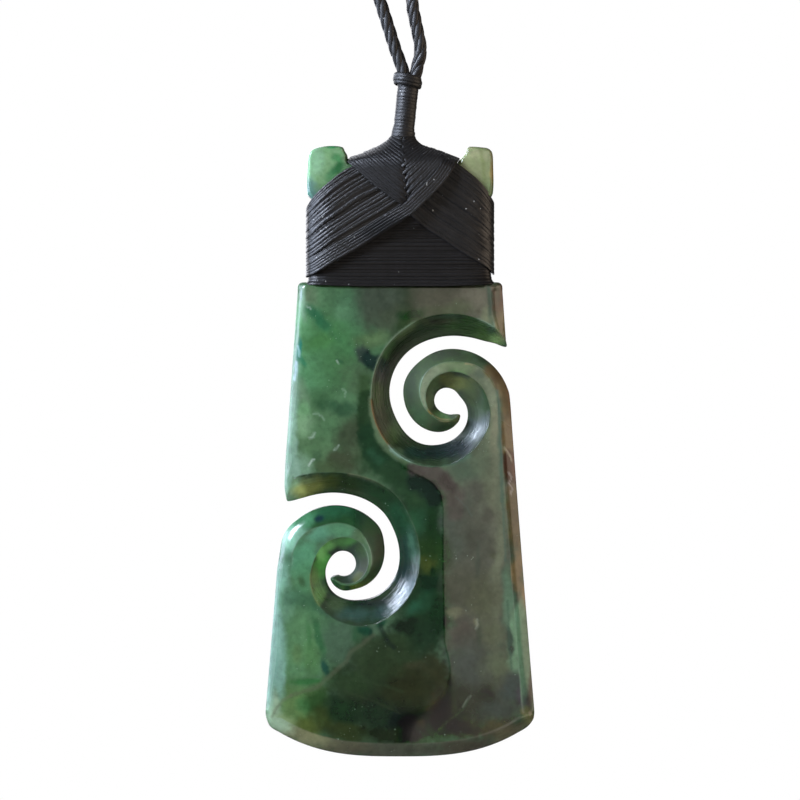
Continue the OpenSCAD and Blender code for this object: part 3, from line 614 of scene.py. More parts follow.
# Patches by part: right, down, half width, half height, turn, colour as it looks, strength, blur
PATCHES = {
    "face": [
        # The wide grounds
        (330, 350, 62, 84, 0, "#4C7B52", 0.95, 0.9),
        (325, 450, 56, 52, 0, "#587C57", 0.9, 0.9),
        (430, 300, 80, 34, 0, "#454B40", 0.95, 0.8),
        (482, 450, 34, 90, 0, "#66735F", 0.95, 0.8),
        (305, 630, 44, 74, 0, "#527F58", 0.95, 0.8),
        (352, 640, 30, 26, 0, "#486650", 0.9, 0.9),
        (480, 585, 36, 84, 0, "#4E554A", 0.97, 0.6),
        (484, 690, 44, 44, 0, "#42483F", 0.95, 0.7),
        (390, 702, 66, 44, 0, "#232F1E", 0.97, 0.7),
        (392, 658, 50, 24, 0, "#2A3624", 0.95, 0.8),
        (420, 560, 29, 96, 0, "#203822", 0.97, 0.5),
        (300, 706, 26, 24, 0, "#577A44", 0.9, 0.9),
        # Upper left field
        (312, 300, 12, 12, 0, "#748F70", 0.8, 0.8),
        (332, 304, 18, 18, 0, "#4F7A55", 0.9, 0.8),
        (352, 312, 16, 22, 0, "#487252", 0.9, 0.8),
        (388, 305, 30, 26, 0, "#435142", 0.95, 0.7),
        (410, 322, 30, 14, 0, "#46543F", 0.8, 0.8),
        (304, 335, 9, 32, 4, "#6BA878", 0.9, 0.7),
        (330, 345, 28, 26, 0, "#4C8453", 0.9, 0.7),
        (345, 313, 11, 9, 0, "#578460", 0.8, 0.8),
        (312, 372, 18, 18, 0, "#5E9A6C", 0.8, 0.8),
        (338, 368, 24, 18, 0, "#4A7A4E", 0.8, 0.8),
        (322, 343, 15, 8, 10, "#4C8546", 0.5, 0.9),
        (372, 340, 15, 8, 6, "#5A7850", 0.85, 0.8),
        (366, 378, 22, 20, 0, "#4B6648", 0.8, 0.8),
        (364, 353, 9, 8, -40, "#34423C", 0.9, 0.6),
        (375, 361, 13, 7.5, -38, "#182E29", 0.97, 0.5),
        (384, 368, 8, 6, -20, "#15302C", 0.9, 0.6),
        (410, 316, 14, 5, 22, "#233F27", 0.9, 0.6),
        (423, 310, 7, 3.5, 30, "#274A2E", 0.8, 0.6),
        (400, 330, 12, 6, 38, "#33492F", 0.8, 0.7),
        (300, 347, 2.6, 8, 0, "#1D7C6B", 0.95, 0.5),
        (303, 361, 2.2, 7, 28, "#33805D", 0.8, 0.6),
        (341, 362, 4.5, 1.8, -20, "#34603F", 0.8, 0.6),
        (302, 392, 9, 12, 0, "#7B9E7E", 0.7, 0.8),
        (322, 396, 12, 9, 0, "#3F6843", 0.8, 0.8),
        (303, 408, 7, 8, 0, "#6FA673", 0.7, 0.8),
        (340, 406, 20, 7, -14, "#30553A", 0.85, 0.8),
        (343, 394, 9, 5, 0, "#56805A", 0.7, 0.9),
        (304, 424, 10, 12, 0, "#80AA81", 0.8, 0.8),
        (328, 426, 15, 12, 0, "#558158", 0.8, 0.9),
        (350, 432, 14, 16, 0, "#404E38", 0.9, 0.8),
        (315, 450, 18, 16, 0, "#577E56", 0.8, 0.9),
        (345, 462, 22, 16, 0, "#424D37", 0.95, 0.8),
        (322, 470, 18, 9, 0, "#455A3B", 0.85, 0.8),
        (316, 456, 4, 7, -25, "#37573B", 0.6, 0.8),
        (314, 470, 4, 2.6, 0, "#3A5737", 0.7, 0.7),
        (300, 470, 9, 16, 0, "#7CA486", 0.8, 0.9),
        # Pale strips down the left edge: partly the stone's own colour, partly a painted sheen of
        # the window on the rounded edge
        (291, 440, 6, 75, 2, "#93BEA6", 0.85, 0.6),
        (304, 305, 3, 16, 3, "#8BB49A", 0.7, 0.8),
        # Upper right field
        (440, 300, 28, 12, 0, "#4C5144", 0.95, 0.8),
        (478, 303, 18, 16, 0, "#6B6D5E", 0.9, 0.8),
        (450, 309, 20, 6, 0, "#4F5F45", 0.7, 0.9),
        (487, 320, 6, 12, 0, "#7C8A6C", 0.7, 0.8),
        (489, 302, 2.2, 18, 3, "#3D5648", 0.8, 0.6),
        (477, 312, 3, 2, 0, "#4B5042", 0.7, 0.8),
        # Crest of the upper arm, and the field right of it
        (424, 384, 6, 18, 10, "#5A7450", 0.95, 0.5),
        (438, 368, 15, 6, 12, "#5F7A52", 0.95, 0.6),
        (462, 367, 12, 6, 0, "#66905E", 0.9, 0.7),
        (432, 408, 4, 12, -35, "#8A7B4C", 0.9, 0.6),
        (482, 376, 14, 14, 0, "#64755E", 0.9, 0.7),
        (480, 374, 5, 5, 0, "#435A50", 0.8, 0.8),
        (489, 430, 9, 40, 0, "#6F8067", 0.9, 0.8),
        (494, 450, 4, 90, -1, "#80886E", 0.8, 0.8),
        (478, 464, 18, 22, 0, "#526450", 0.9, 0.9),
        (462, 468, 14, 16, 0, "#47614F", 0.85, 0.8),
        (452, 458, 14, 5, 15, "#4E786A", 0.8, 0.8),
        (490, 490, 10, 20, 0, "#5F6B56", 0.8, 0.9),
        (472, 492, 12, 14, 0, "#4B5149", 0.8, 0.8),
        (454, 500, 7, 9, 0, "#504E48", 0.8, 0.7),
        # Hollow between the korus
        (376, 455, 17, 20, -35, "#28472B", 0.8, 0.7),
        (402, 482, 16, 13, -40, "#2A4730", 0.9, 0.6),
        # Dark middle, left of the sheen's edge
        (422, 512, 18, 20, 0, "#243F28", 0.95, 0.6),
        (434, 500, 10, 14, 0, "#1B3722", 0.9, 0.6),
        (420, 496, 5, 8, -20, "#4A6A3E", 0.5, 0.9),
        (416, 520, 9, 13, 0, "#2F6040", 0.6, 0.9),
        (436, 530, 9, 22, 0, "#1C3A1F", 0.9, 0.6),
        (430, 556, 15, 20, 0, "#25411E", 0.9, 0.6),
        (427, 566, 9, 9, 0, "#414F22", 0.85, 0.8),
        (430, 585, 15, 10, 0, "#142E1C", 0.95, 0.6),
        (433, 571, 3, 4, 0, "#122F17", 0.9, 0.7),
        (420, 602, 13, 10, 30, "#224A31", 0.8, 0.9),
        (412, 607, 6, 8, -35, "#2E6046", 0.7, 0.9),
        (436, 615, 9, 22, 0, "#18331D", 0.9, 0.6),
        (406, 626, 14, 8, 0, "#19271A", 0.97, 0.6),
        (425, 632, 12, 12, 0, "#1E3422", 0.85, 0.8),
        (395, 640, 14, 9, 0, "#2B3F26", 0.85, 0.8),
        # Lower right field under the sheen
        (462, 530, 16, 30, 0, "#46544A", 0.95, 0.6),
        (482, 540, 18, 40, 0, "#4F574B", 0.85, 0.9),
        (472, 540, 10, 14, 0, "#40483F", 0.8, 0.8),
        (488, 515, 5, 6, 0, "#494E44", 0.8, 0.7),
        (492, 555, 3.5, 3.5, 0, "#49523F", 0.8, 0.6),
        (499, 560, 5, 60, -3, "#6F7B63", 0.8, 0.8),
        (478, 566, 2.4, 22, 0, "#3E5045", 0.6, 0.8),
        (462, 590, 17, 24, 0, "#454C3F", 0.9, 0.8),
        (485, 598, 14, 22, 0, "#535D47", 0.85, 0.9),
        (455, 612, 9, 5, 0, "#6B7259", 0.8, 0.8),
        (462, 633, 14, 12, 0, "#4C4C45", 0.85, 0.8),
        (479, 634, 2.6, 14, 0, "#37463A", 0.8, 0.7),
        (476, 622, 2, 4, 20, "#74795F", 0.7, 0.8),
        (492, 632, 10, 14, 0, "#59654D", 0.8, 0.9),
        (468, 665, 20, 22, 0, "#44504A", 0.9, 0.8),
        (497, 665, 14, 14, 0, "#57664E", 0.85, 0.9),
        (488, 689, 6, 7, 0, "#2A332B", 0.9, 0.8),
        (470, 700, 22, 15, 0, "#3D433A", 0.9, 0.8),
        (515, 640, 8, 36, -3, "#6B9372", 0.9, 0.7),
        (509, 638, 3, 14, 6, "#293E37", 0.9, 0.6),
        (510, 648, 3, 5, 0, "#22352F", 0.8, 0.6),
        (507, 595, 5, 26, -3, "#5B8267", 0.85, 0.7),
        (514, 683, 15, 13, -30, "#404F4B", 0.95, 0.5),
        (524, 695, 6, 14, 10, "#4B4B51", 0.85, 0.7),
        (500, 705, 18, 10, 0, "#44504A", 0.8, 0.8),
        (527, 713, 7, 8, 20, "#6D724C", 0.95, 0.5),
        (520, 722, 6, 6, 0, "#2E4834", 0.9, 0.6),
        (497, 728, 18, 8, 12, "#4C4C38", 0.9, 0.7),
        (462, 726, 20, 10, 0, "#383728", 0.9, 0.7),
        # Lower left field
        (300, 556, 16, 16, 0, "#5A9A74", 0.9, 0.8),
        (308, 575, 12, 16, 0, "#528A60", 0.8, 0.9),
        (302, 580, 3.4, 6, 12, "#3B5B39", 0.8, 0.7),
        # Pale strip down the left edge: partly the stone's own colour, partly a painted sheen of
        # the window
        (283, 570, 7, 30, 3, "#82B8A0", 0.85, 0.7),
        (287, 606, 10, 14, 0, "#6B9A7E", 0.8, 0.9),
        (296, 596, 9, 9, 0, "#4A7A5C", 0.7, 0.9),
        (314, 604, 14, 9, -20, "#3B6648", 0.85, 0.8),
        (330, 612, 12, 5, -14, "#3A5A46", 0.8, 0.8),
        # Pale strip down the left edge: partly the stone's own colour, partly a painted sheen of
        # the window
        (279, 650, 7, 50, 3, "#84B4A2", 0.9, 0.6),
        (300, 640, 15, 30, 0, "#5C8B5F", 0.9, 0.8),
        (297, 652, 5, 9, 0, "#587A4B", 0.7, 0.8),
        (310, 655, 8, 16, 0, "#517F4D", 0.8, 0.8),
        (308, 634, 2.4, 14, 8, "#3A7040", 0.6, 0.8),
        (318, 636, 4, 20, 18, "#33663F", 0.85, 0.7),
        (325, 666, 4, 9, 14, "#1F493C", 0.95, 0.6),
        (342, 640, 16, 18, -20, "#4A6850", 0.95, 0.6),
        (357, 634, 6, 8, 0, "#2F5A3A", 0.8, 0.7),
        (366, 630, 8, 4, -20, "#164833", 0.95, 0.6),
        (372, 634, 3, 6, 20, "#14392B", 0.9, 0.6),
        (382, 622, 6, 3, 30, "#164833", 0.9, 0.6),
        (366, 650, 16, 14, 20, "#33482F", 0.9, 0.8),
        (390, 665, 30, 18, 0, "#2C3E26", 0.9, 0.8),
        (350, 682, 22, 12, 0, "#2D4328", 0.9, 0.8),
        (307, 680, 15, 3, 3, "#33723C", 0.8, 0.7),
        (292, 704, 14, 12, 0, "#658952", 0.9, 0.8),
        (307, 702, 8, 9, 0, "#3B7040", 0.8, 0.8),
        (319, 701, 11, 12, 0, "#294A24", 0.9, 0.8),
        # Pale strip down the left edge: partly the stone's own colour, partly a painted sheen of
        # the window
        (274, 705, 6, 16, 0, "#93B294", 0.9, 0.7),
        (285, 722, 12, 9, -25, "#87A473", 0.9, 0.8),
        (305, 727, 14, 9, -14, "#56672F", 0.9, 0.8),
        (323, 718, 14, 12, 0, "#354520", 0.95, 0.7),
        (346, 714, 18, 13, 0, "#1B341D", 0.95, 0.7),
        (334, 703, 8, 8, 0, "#12281A", 0.6, 0.8),
        (340, 733, 26, 8, -6, "#2F3B1B", 0.9, 0.7),
        (378, 716, 22, 16, 0, "#1D2F1F", 0.95, 0.7),
        (402, 716, 12, 13, 0, "#101C17", 0.97, 0.7),
        (391, 733, 30, 6, 0, "#1E2A18", 0.9, 0.7),
        (398, 688, 16, 8, 0, "#2B341E", 0.8, 0.8),
        (418, 684, 24, 20, 0, "#2D321D", 0.85, 0.9),
        (434, 664, 12, 16, 0, "#343A25", 0.85, 0.9),
        (414, 664, 10, 5, 10, "#3F422E", 0.6, 0.9),
        (420, 722, 6, 5, 20, "#4A4535", 0.6, 0.9),
        (440, 715, 14, 18, 0, "#39351F", 0.9, 0.8),
        (440, 690, 9, 20, 0, "#302F1C", 0.6, 0.9),
        (402, 655, 12, 6, 0, "#31452C", 0.7, 0.8),
        # Crest of the lower arm
        (318, 533, 14, 8, 20, "#5F9C7D", 0.9, 0.8),
        (340, 529, 14, 6, 5, "#578E68", 0.9, 0.7),
        (362, 536, 8, 9, -40, "#5B7C58", 0.95, 0.6),
        (372, 556, 4, 16, -8, "#5F7C54", 0.95, 0.6),
    ],
    "head": [
        # Ears
        (325, 165, 24, 30, 0, "#86B884", 0.95, 0.8),
        (314, 160, 8, 18, 0, "#96CCA4", 0.9, 0.8),
        (334, 152, 12, 5, 0, "#80B683", 0.8, 0.8),
        (332, 147.5, 6, 2.4, 0, "#2E8A50", 0.9, 0.7),
        (338, 169, 8, 4.5, 42, "#1F6E3B", 0.85, 0.8),
        (331, 176, 5, 4, 50, "#3A9058", 0.5, 0.9),
        (337, 160, 5, 4, 0, "#3D8F55", 0.7, 0.8),
        (312, 192, 7, 12, 0, "#6E9E98", 0.9, 0.8),
        (480, 165, 26, 34, 0, "#8FA072", 0.95, 0.8),
        (472, 154, 11, 6, 0, "#A9B78B", 0.9, 0.8),
        (492, 172, 3, 14, 0, "#9C8B4D", 0.9, 0.7),
        (483, 168, 1.8, 20, 4, "#7D915B", 0.8, 0.7),
        (487, 188, 8, 9, 0, "#6F8A58", 0.85, 0.8),
        (490, 156, 6, 5, 0, "#9DAA80", 0.8, 0.8),
    ],
    "upper flute": [
        # Upper flute
        (430, 390, 90, 90, 0, "#24381E", 0.97, 0.4),
        (484, 333, 14, 8, -24, "#3A5C28", 0.95, 0.8),
        (497, 339, 8, 6, -30, "#678B50", 0.95, 0.8),
        (462, 326, 18, 8, 0, "#2B4A20", 0.9, 0.8),
        (436, 321, 18, 4, 0, "#3E4A30", 0.9, 0.7),
        (435, 321, 6, 3, 0, "#262D20", 0.8, 0.7),
        (404, 330, 18, 5, 38, "#50663E", 0.9, 0.7),
        (386, 350, 13, 5, 62, "#43693A", 0.9, 0.7),
        (396, 352, 18, 5, 48, "#1D3015", 0.9, 0.7),
        (380, 366, 6, 8, 0, "#15302C", 0.9, 0.6),
        (379, 378, 4, 8, 0, "#2A3C3C", 0.8, 0.7),
        (377, 396, 5, 14, 0, "#345A26", 0.9, 0.8),
        (385, 408, 5, 26, -6, "#213D14", 0.9, 0.8),
        (390, 436, 7, 16, -30, "#3F5A30", 0.9, 0.8),
        (398, 452, 8, 5, -35, "#5C7B58", 0.85, 0.8),
        (414, 452, 12, 7, -20, "#1A372A", 0.95, 0.7),
        (436, 452, 18, 8, 0, "#112622", 0.97, 0.7),
        (460, 446, 14, 8, 30, "#132528", 0.95, 0.7),
        # Painted grey-blue of the window's highlight in the flute
        (474, 428, 12, 9, 55, "#4A6363", 0.85, 0.8),
        (478, 404, 9, 12, 0, "#3D5A38", 0.9, 0.8),
        (484, 388, 5, 9, 0, "#2A5A35", 0.85, 0.8),
        (455, 379, 18, 8, -8, "#5E6C2C", 0.95, 0.7),
        (470, 392, 10, 12, 0, "#3B5021", 0.9, 0.8),
        (432, 380, 7, 8, 30, "#4B6B3A", 0.9, 0.7),
        (431, 400, 4, 12, -10, "#5E7A56", 0.9, 0.7),
        (442, 415, 9, 4, -25, "#4E7A3F", 0.9, 0.7),
    ],
    "upper arm": [
        # Upper arm
        (430, 390, 60, 60, 0, "#33501F", 0.97, 0.4),
        (412, 392, 7, 26, 0, "#233F13", 0.9, 0.8),
        (440, 353, 22, 6, 0, "#2A3C1C", 0.95, 0.7),
        (485, 358, 12, 6, -30, "#1F3F16", 0.9, 0.7),
        (500, 385, 7, 22, -14, "#7A6A40", 0.95, 0.8),
        (440, 428, 9, 4, 0, "#234A1F", 0.9, 0.7),
        (456, 416, 6, 6, 0, "#616E3D", 0.95, 0.7),
        (420, 415, 8, 8, 0, "#2F5A2B", 0.8, 0.8),
    ],
    "lower flute": [
        # Lower flute
        (340, 560, 110, 110, 0, "#1F3A22", 0.97, 0.4),
        (292, 491, 9, 12, 0, "#93C494", 0.95, 0.8),
        (302, 492, 10, 7, 10, "#A6B668", 0.95, 0.9),
        (314, 487, 9, 8, 0, "#6A7638", 0.9, 0.9),
        (329, 484, 10, 8, 0, "#38481B", 0.95, 0.9),
        (306, 481, 8, 3, 8, "#667F4F", 0.8, 0.8),
        (348, 485, 14, 9, 0, "#22371A", 0.95, 0.8),
        (378, 497, 16, 10, -35, "#1D3D22", 0.95, 0.8),
        (398, 520, 12, 16, 30, "#1E4A2F", 0.95, 0.8),
        (406, 548, 9, 18, 8, "#203F34", 0.95, 0.8),
        (413, 545, 4, 18, 8, "#3A6450", 0.85, 0.8),
        (403, 575, 8, 12, -10, "#1A3634", 0.95, 0.8),
        # Painted blue-grey of the window's highlight in the flute
        (408, 592, 10, 14, -40, "#3F5F66", 0.9, 0.8),
        (388, 607, 18, 7, 22, "#35524F", 0.9, 0.8),
        (372, 602, 20, 4, 5, "#1B2C28", 0.9, 0.7),
        (352, 614, 16, 7, -5, "#36584F", 0.9, 0.8),
        (335, 606, 8, 8, 0, "#4B6645", 0.85, 0.8),
        (320, 594, 6, 10, -20, "#5C8E4A", 0.95, 0.7),
        (315, 575, 5, 12, 0, "#6A9A4E", 0.9, 0.9),
        # Painted light: the bright green left of the lower eye is made brighter than the stone, to
        # make up for the little light in this hollow
        (322, 560, 7, 16, 10, "#4CB040", 0.9, 0.9),
        (318, 551, 5, 8, 30, "#8CE67E", 0.9, 0.9),
        (328, 544, 8, 5, 35, "#76C868", 0.85, 0.9),
        (345, 539, 10, 6, 0, "#4A8F3E", 0.9, 0.9),
        (362, 548, 7, 10, 0, "#2F521E", 0.95, 0.8),
        (364, 566, 6, 10, 0, "#27380C", 0.95, 0.8),
        (357, 578, 6, 5, 30, "#4C5C16", 0.9, 0.8),
    ],
    "lower arm": [
        # Lower arm
        (340, 540, 70, 60, 0, "#24502C", 0.97, 0.4),
        # Painted sheen of the window round the highlight on the arm's rounded corner
        (290, 534, 14, 18, 0, "#8CC6AB", 0.95, 0.9),
        (305, 517, 12, 7, 20, "#4B8C64", 0.95, 0.8),
        (330, 511, 14, 7, 5, "#2B6645", 0.95, 0.8),
        (319, 518, 5, 3, 10, "#122E3A", 0.95, 0.7),
        (345, 509, 9, 7, 0, "#2B6646", 0.8, 0.8),
        (362, 513, 12, 8, -30, "#1A4328", 0.95, 0.8),
        (374, 527, 8, 10, 0, "#224B20", 0.9, 0.8),
        (379, 548, 7, 16, 0, "#27441A", 0.95, 0.8),
        (373, 573, 8, 9, 0, "#33501F", 0.95, 0.8),
        (356, 586, 14, 6, 10, "#59722A", 0.95, 0.8),
        (345, 580, 4, 5, 0, "#2B5A33", 0.9, 0.7),
        (346, 588, 3, 3, 0, "#1F4A30", 0.9, 0.7),
    ],
    "rind": [
        # Rind of the right edge, and the blade
        (500, 300, 8, 14, 0, "#6B4A36", 0.97, 0.7),
        (503, 325, 8, 14, 0, "#8B8560", 0.95, 0.8),
        (497, 296, 3, 12, 0, "#4E5B48", 0.8, 0.8),
        (506, 400, 9, 30, 0, "#7B6A47", 0.97, 0.7),
        (510, 430, 8, 16, 0, "#7E6B4B", 0.95, 0.8),
        (503, 372, 8, 12, -20, "#6F6134", 0.95, 0.8),
        (510, 466, 6, 16, 0, "#4A2E1D", 0.9, 0.8),
        (513, 478, 5, 8, 0, "#54301F", 0.8, 0.8),
        (506, 452, 3, 6, 30, "#A89A6A", 0.7, 0.8),
        (510, 487, 5, 6, 0, "#7B756A", 0.7, 0.7),
        (514, 505, 9, 14, 0, "#5E5938", 0.95, 0.8),
        (516, 530, 9, 18, 0, "#645E3B", 0.97, 0.8),
        (520, 568, 8, 24, -2, "#857852", 0.97, 0.7),
        (523, 600, 4, 14, -6, "#A38D66", 0.9, 0.7),
        (524, 650, 8, 46, -4, "#6E9777", 0.95, 0.7),
        (519, 612, 5, 14, 0, "#6E9C7C", 0.9, 0.8),
        (531, 680, 3, 26, -3, "#4B4A3C", 0.9, 0.7),
    ],
    "left": [
        # Pale left edge: partly the stone's own colour, partly a painted sheen of the window on the
        # rounding
        (290, 420, 14, 150, 2, "#7FA68F", 0.9, 0.6),
        (272, 640, 14, 90, 2, "#7AA494", 0.9, 0.6),
        (299, 352, 3, 9, 0, "#1D7C6B", 0.9, 0.6),
    ],
    "blade": [
        # The blade's bevel: the stone's colour with a painted pale reflection, paler and greyer
        # than the face above
        (395, 748, 80, 12, 0, "#515848", 0.97, 0.7),
        (345, 746, 24, 8, -8, "#5E604B", 0.95, 0.8),
        (300, 734, 26, 10, -22, "#7F8461", 0.95, 0.9),
        # Pale corner of the left edge: partly the stone's own colour, partly a painted sheen of the
        # window
        (276, 715, 16, 16, 0, "#93B294", 0.95, 0.9),
        (470, 746, 26, 10, 8, "#4E4E3F", 0.95, 0.8),
        (508, 735, 16, 8, 25, "#62614A", 0.9, 0.8),
        (528, 715, 8, 14, 0, "#6D724C", 0.95, 0.8),
    ],
}
# A flow of stain: part, half width, colour, strength, blur, points
FLOWS = [
    # Green streak high on the left
    ("face", 5, "#2A6E4C", 0.75, 0.7, [(311, 311), (317, 316), (321, 323), (326, 327)]),
    ("face", 3.5, "#3A6C47", 0.5, 0.8, [(326, 327), (333, 335), (340, 341)]),
    # Dark hollow between the korus, and the pale rim of the upper one, a painted highlight where
    # its slope faces the window
    ("face", 7, "#34502D", 0.75, 0.5, [(366, 380), (366, 396)]),
    ("face", 8.5, "#223C22", 0.92, 0.3, [(366.5, 398), (365.5, 415), (366, 432)]),
    ("face", 11, "#1D3B24", 0.95, 0.3, [(368, 434), (372, 448), (381, 461), (392, 472)]),
    ("face", 12, "#29462C", 0.85, 0.4, [(390, 474), (403, 483), (418, 496)]),
    ("face", 9.5, "#1A2B22", 0.95, 0.4, [(416, 482), (426, 487), (433, 496)]),
    ("face", 4, "#2F5A40", 0.5, 0.9, [(371, 452), (380, 461)]),
    # Painted highlight: the pale rim outside the upper ridge, lit where it slopes towards the
    # window
    ("face", 2.6, "#6A8262", 0.7, 0.6, [(371, 398), (372, 412), (375.5, 427)]),
    ("face", 4.6, "#637D5C", 0.8, 0.6, [(378.5, 433), (387, 446), (399, 457), (406, 461)]),
    ("face", 1.6, "#8FB5A2", 0.7, 0.7, [(391, 449), (400, 456)]),
    ("face", 8, "#4B4946", 0.92, 0.35, [(415, 468), (428, 470), (440, 476), (447, 484)]),
    ("face", 8, "#4C4B46", 0.8, 0.5, [(448, 484), (455, 496), (457, 512)]),
    ("face", 5, "#393736", 0.7, 0.7, [(443, 478), (452, 487)]),
    ("face", 4, "#557A6A", 0.6, 0.8, [(446, 462), (456, 458), (466, 452)]),
    # Double pale crest of the upper arm
    ("face", 5.2, "#84977C", 0.9, 0.5, [(424.5, 404), (423.5, 390), (427, 380), (434, 372),
                                   (444, 367)]),
    ("face", 3.8, "#728A68", 0.85, 0.6, [(443, 367), (456, 365), (470, 366.5), (479, 370)]),
    ("face", 4.5, "#7B8B72", 0.8, 0.6, [(479, 370), (487, 379), (491, 389), (492, 402)]),
    ("face", 1.1, "#4F6548", 0.7, 0.5, [(429, 404), (428, 392), (432, 383), (440, 375)]),
    ("face", 1.2, "#B0AA82", 0.6, 0.6, [(466, 363), (477, 364), (486, 368)]),
    ("face", 3.6, "#465A4F", 0.6, 0.8, [(479, 373), (482, 376)]),
    # Brown and tan skin of the stone down the right edge
    ("outer", 6.5, "#64552C", 0.9, 0.6, [(490, 371), (496, 377), (501, 385)]),
    ("outer", 5.5, "#7E724D", 0.92, 0.4, [(503, 386), (506.5, 402), (508.5, 424), (510, 448)]),
    ("outer", 3, "#856F4B", 0.8, 0.6, [(508, 390), (512, 420), (514, 448)]),
    ("outer", 1.6, "#54705F", 0.6, 0.7, [(496.5, 392), (499, 420), (500.5, 460), (502, 500)]),
    ("outer", 6, "#4B3222", 0.95, 0.4, [(509.5, 455), (511, 466), (512, 476)]),
    ("outer", 2.6, "#653E2B", 0.8, 0.7, [(513, 455), (515, 470), (516, 484)]),
    ("outer", 5.5, "#696042", 0.85, 0.5, [(511, 490), (513, 505), (515, 525)]),
]
# A line: part, width, colour, strength, points
LINES = [
    # Painted glints of the window: on the teal spot, down the left edge and at its top corner
    ("face", 1.5, "#B4D6D4", 0.6, [(298.5, 347), (300, 352), (299.5, 357)]),
    ("left", 2.0, "#C8DCE6", 0.7, [(297, 362), (296.3, 372), (295, 380)]),
    ("left", 1.5, "#B4CCD2", 0.5, [(302, 292), (301.5, 300)]),
    # Tan vein across the lower left, with paler veins branching off it
    ("face", 3.4, "#5E634A", 0.5, [(374, 634), (362, 643), (352, 650), (346, 660), (336, 670),
                                    (326, 678), (318, 686), (305, 690), (292, 694)]),
    ("face", 2.5, "#6F775A", 0.5, [(292, 694), (284, 698), (278, 706), (272, 716)]),
    ("face", 2.5, "#38492F", 0.35, [(330, 684), (355, 678), (385, 684), (402, 690)]),
    ("face", 1.8, "#3F4A32", 0.3, [(345, 690), (375, 700), (400, 712)]),
    ("face", 4.0, "#1B261F", 0.7, [(381, 625), (384, 634), (389, 642), (394, 646)]),
    ("face", 1.4, "#52614A", 0.35, [(470, 695), (463, 708), (450, 718), (438, 728)]),
    ("face", 1.4, "#56665A", 0.35, [(455, 496), (464, 505), (472, 515)]),
    # Dark line beside the rind
    ("face", 2.0, "#4C6656", 0.6, [(498, 400), (500, 440), (501, 480), (503, 520), (505, 560)]),
    ("face", 1.6, "#3F5C4A", 0.6, [(507, 600), (509, 640), (511, 668)]),
    # Scratches
    ("face", 1.5, "#D5E3D2", 0.6, [(309, 465), (311.5, 462), (314, 459)]),
    ("face", 1.3, "#B9CDB6", 0.5, [(334, 450), (337, 447), (339, 445)]),
    ("face", 2.0, "#B4CCB2", 0.5, [(310, 438), (313, 437), (315, 433)]),
    ("face", 1.4, "#A5C2A4", 0.35, [(314, 414), (318, 413), (322, 416), (325, 420)]),
    ("face", 1.6, "#A8C2A5", 0.35, [(343, 389), (346, 392), (345, 396)]),
    ("face", 1.3, "#B8D0BC", 0.5, [(307, 308.5), (309, 307.5), (311, 309)]),
    ("face", 1.2, "#CFE0CB", 0.4, [(337, 361), (338.5, 363)]),
    ("face", 1.2, "#9AA68F", 0.35, [(470, 694), (466, 700), (463, 706)]),
    ("face", 1.4, "#A9B39B", 0.35, [(476, 618), (477, 624), (475, 628)]),
    ("outer", 1.3, "#D2CBAE", 0.6, [(504, 447), (507, 452), (510, 456), (512, 461)]),
    ("outer", 1.2, "#C2BAB4", 0.6, [(508, 472), (511, 477), (508, 483), (512, 488), (510, 494)]),
    # Painted highlights along the ridges that catch the light, and brown stain along one of them
    ("ridge", 5, "#8EA488", 0.8, [(504, 341), (495, 327), (480, 317)]),
    ("ridge", 5, "#869C7C", 0.9, [(412, 322), (400, 332), (388, 345), (380, 360), (375, 378),
                                  (372, 395)]),
    ("ridge", 5, "#8C653C", 0.85, [(372, 402), (373, 412), (377, 424), (383, 435), (391, 445)]),
    ("ridge", 5, "#8FB09A", 0.9, [(391, 446), (400, 454), (410, 460)]),
    ("ridge", 5, "#6F8A6C", 0.8, [(412, 461), (430, 463), (450, 458), (465, 450)]),
    ("ridge", 5, "#7E7F5E", 0.8, [(350, 476), (368, 481), (380, 488), (392, 499)]),
    ("ridge", 5, "#587C5F", 0.8, [(393, 500), (403, 512), (410, 527), (415, 545), (417, 560)]),
    ("ridge", 5, "#8E8152", 0.8, [(428, 400), (433, 410), (441, 419), (447, 421)]),
    ("ridge", 5, "#7FA080", 0.7, [(421, 380), (423, 396), (428, 404)]),
    ("ridge", 5, "#86A080", 0.8, [(364, 540), (370, 550), (372, 562)]),
    ("ridge", 5, "#7A8C50", 0.7, [(310, 575), (312, 590), (318, 603)]),
]


def to_line(u, v, points):
    """Distance to a broken line: to each stretch the point is dropped at right angles, held
    between its ends, and the least is kept."""
    best = np.full(u.shape, 1e9)
    for (au, av), (bu, bv) in zip(points[:-1], points[1:]):
        du, dv = bu - au, bv - av
        t = np.clip(((u - au) * du + (v - av) * dv) / (du * du + dv * dv), 0, 1)
        best = np.minimum(best, np.hypot(u - au - t * du, v - av - t * dv))
    return best


def sheen(x, h):
    """Brightness that the walls of the room add to the flat face by reflection, which the
    colours as they look already hold: right of the middle, stronger towards the blade, and none
    in the hollow."""
    wall, low_wall, hollow_end, low_hollow_end = 0.028, 0.35, 0.012, 0.045
    bright = wall * ease(-1.0, 1.5, x) * (1 + low_wall * ease(16, 5, h))
    end = hollow_end + low_hollow_end * ease(*SOFT_CREASE_H, h)
    return bright * ease(end, 0.0, hollow(x, h)) * (h < STEP_H)


def laid(colour, code, share):
    """A colour laid over what is there, by its share at each point."""
    return colour * (1 - share[:, None]) + linear(code) * share[:, None]


def wavering(u, v, size, seeds, reach):
    """Two clouds of a size that shift a point right and down by up to half the reach."""
    return [reach * (cloud(u, v, size, seed) - 0.5) for seed in seeds]


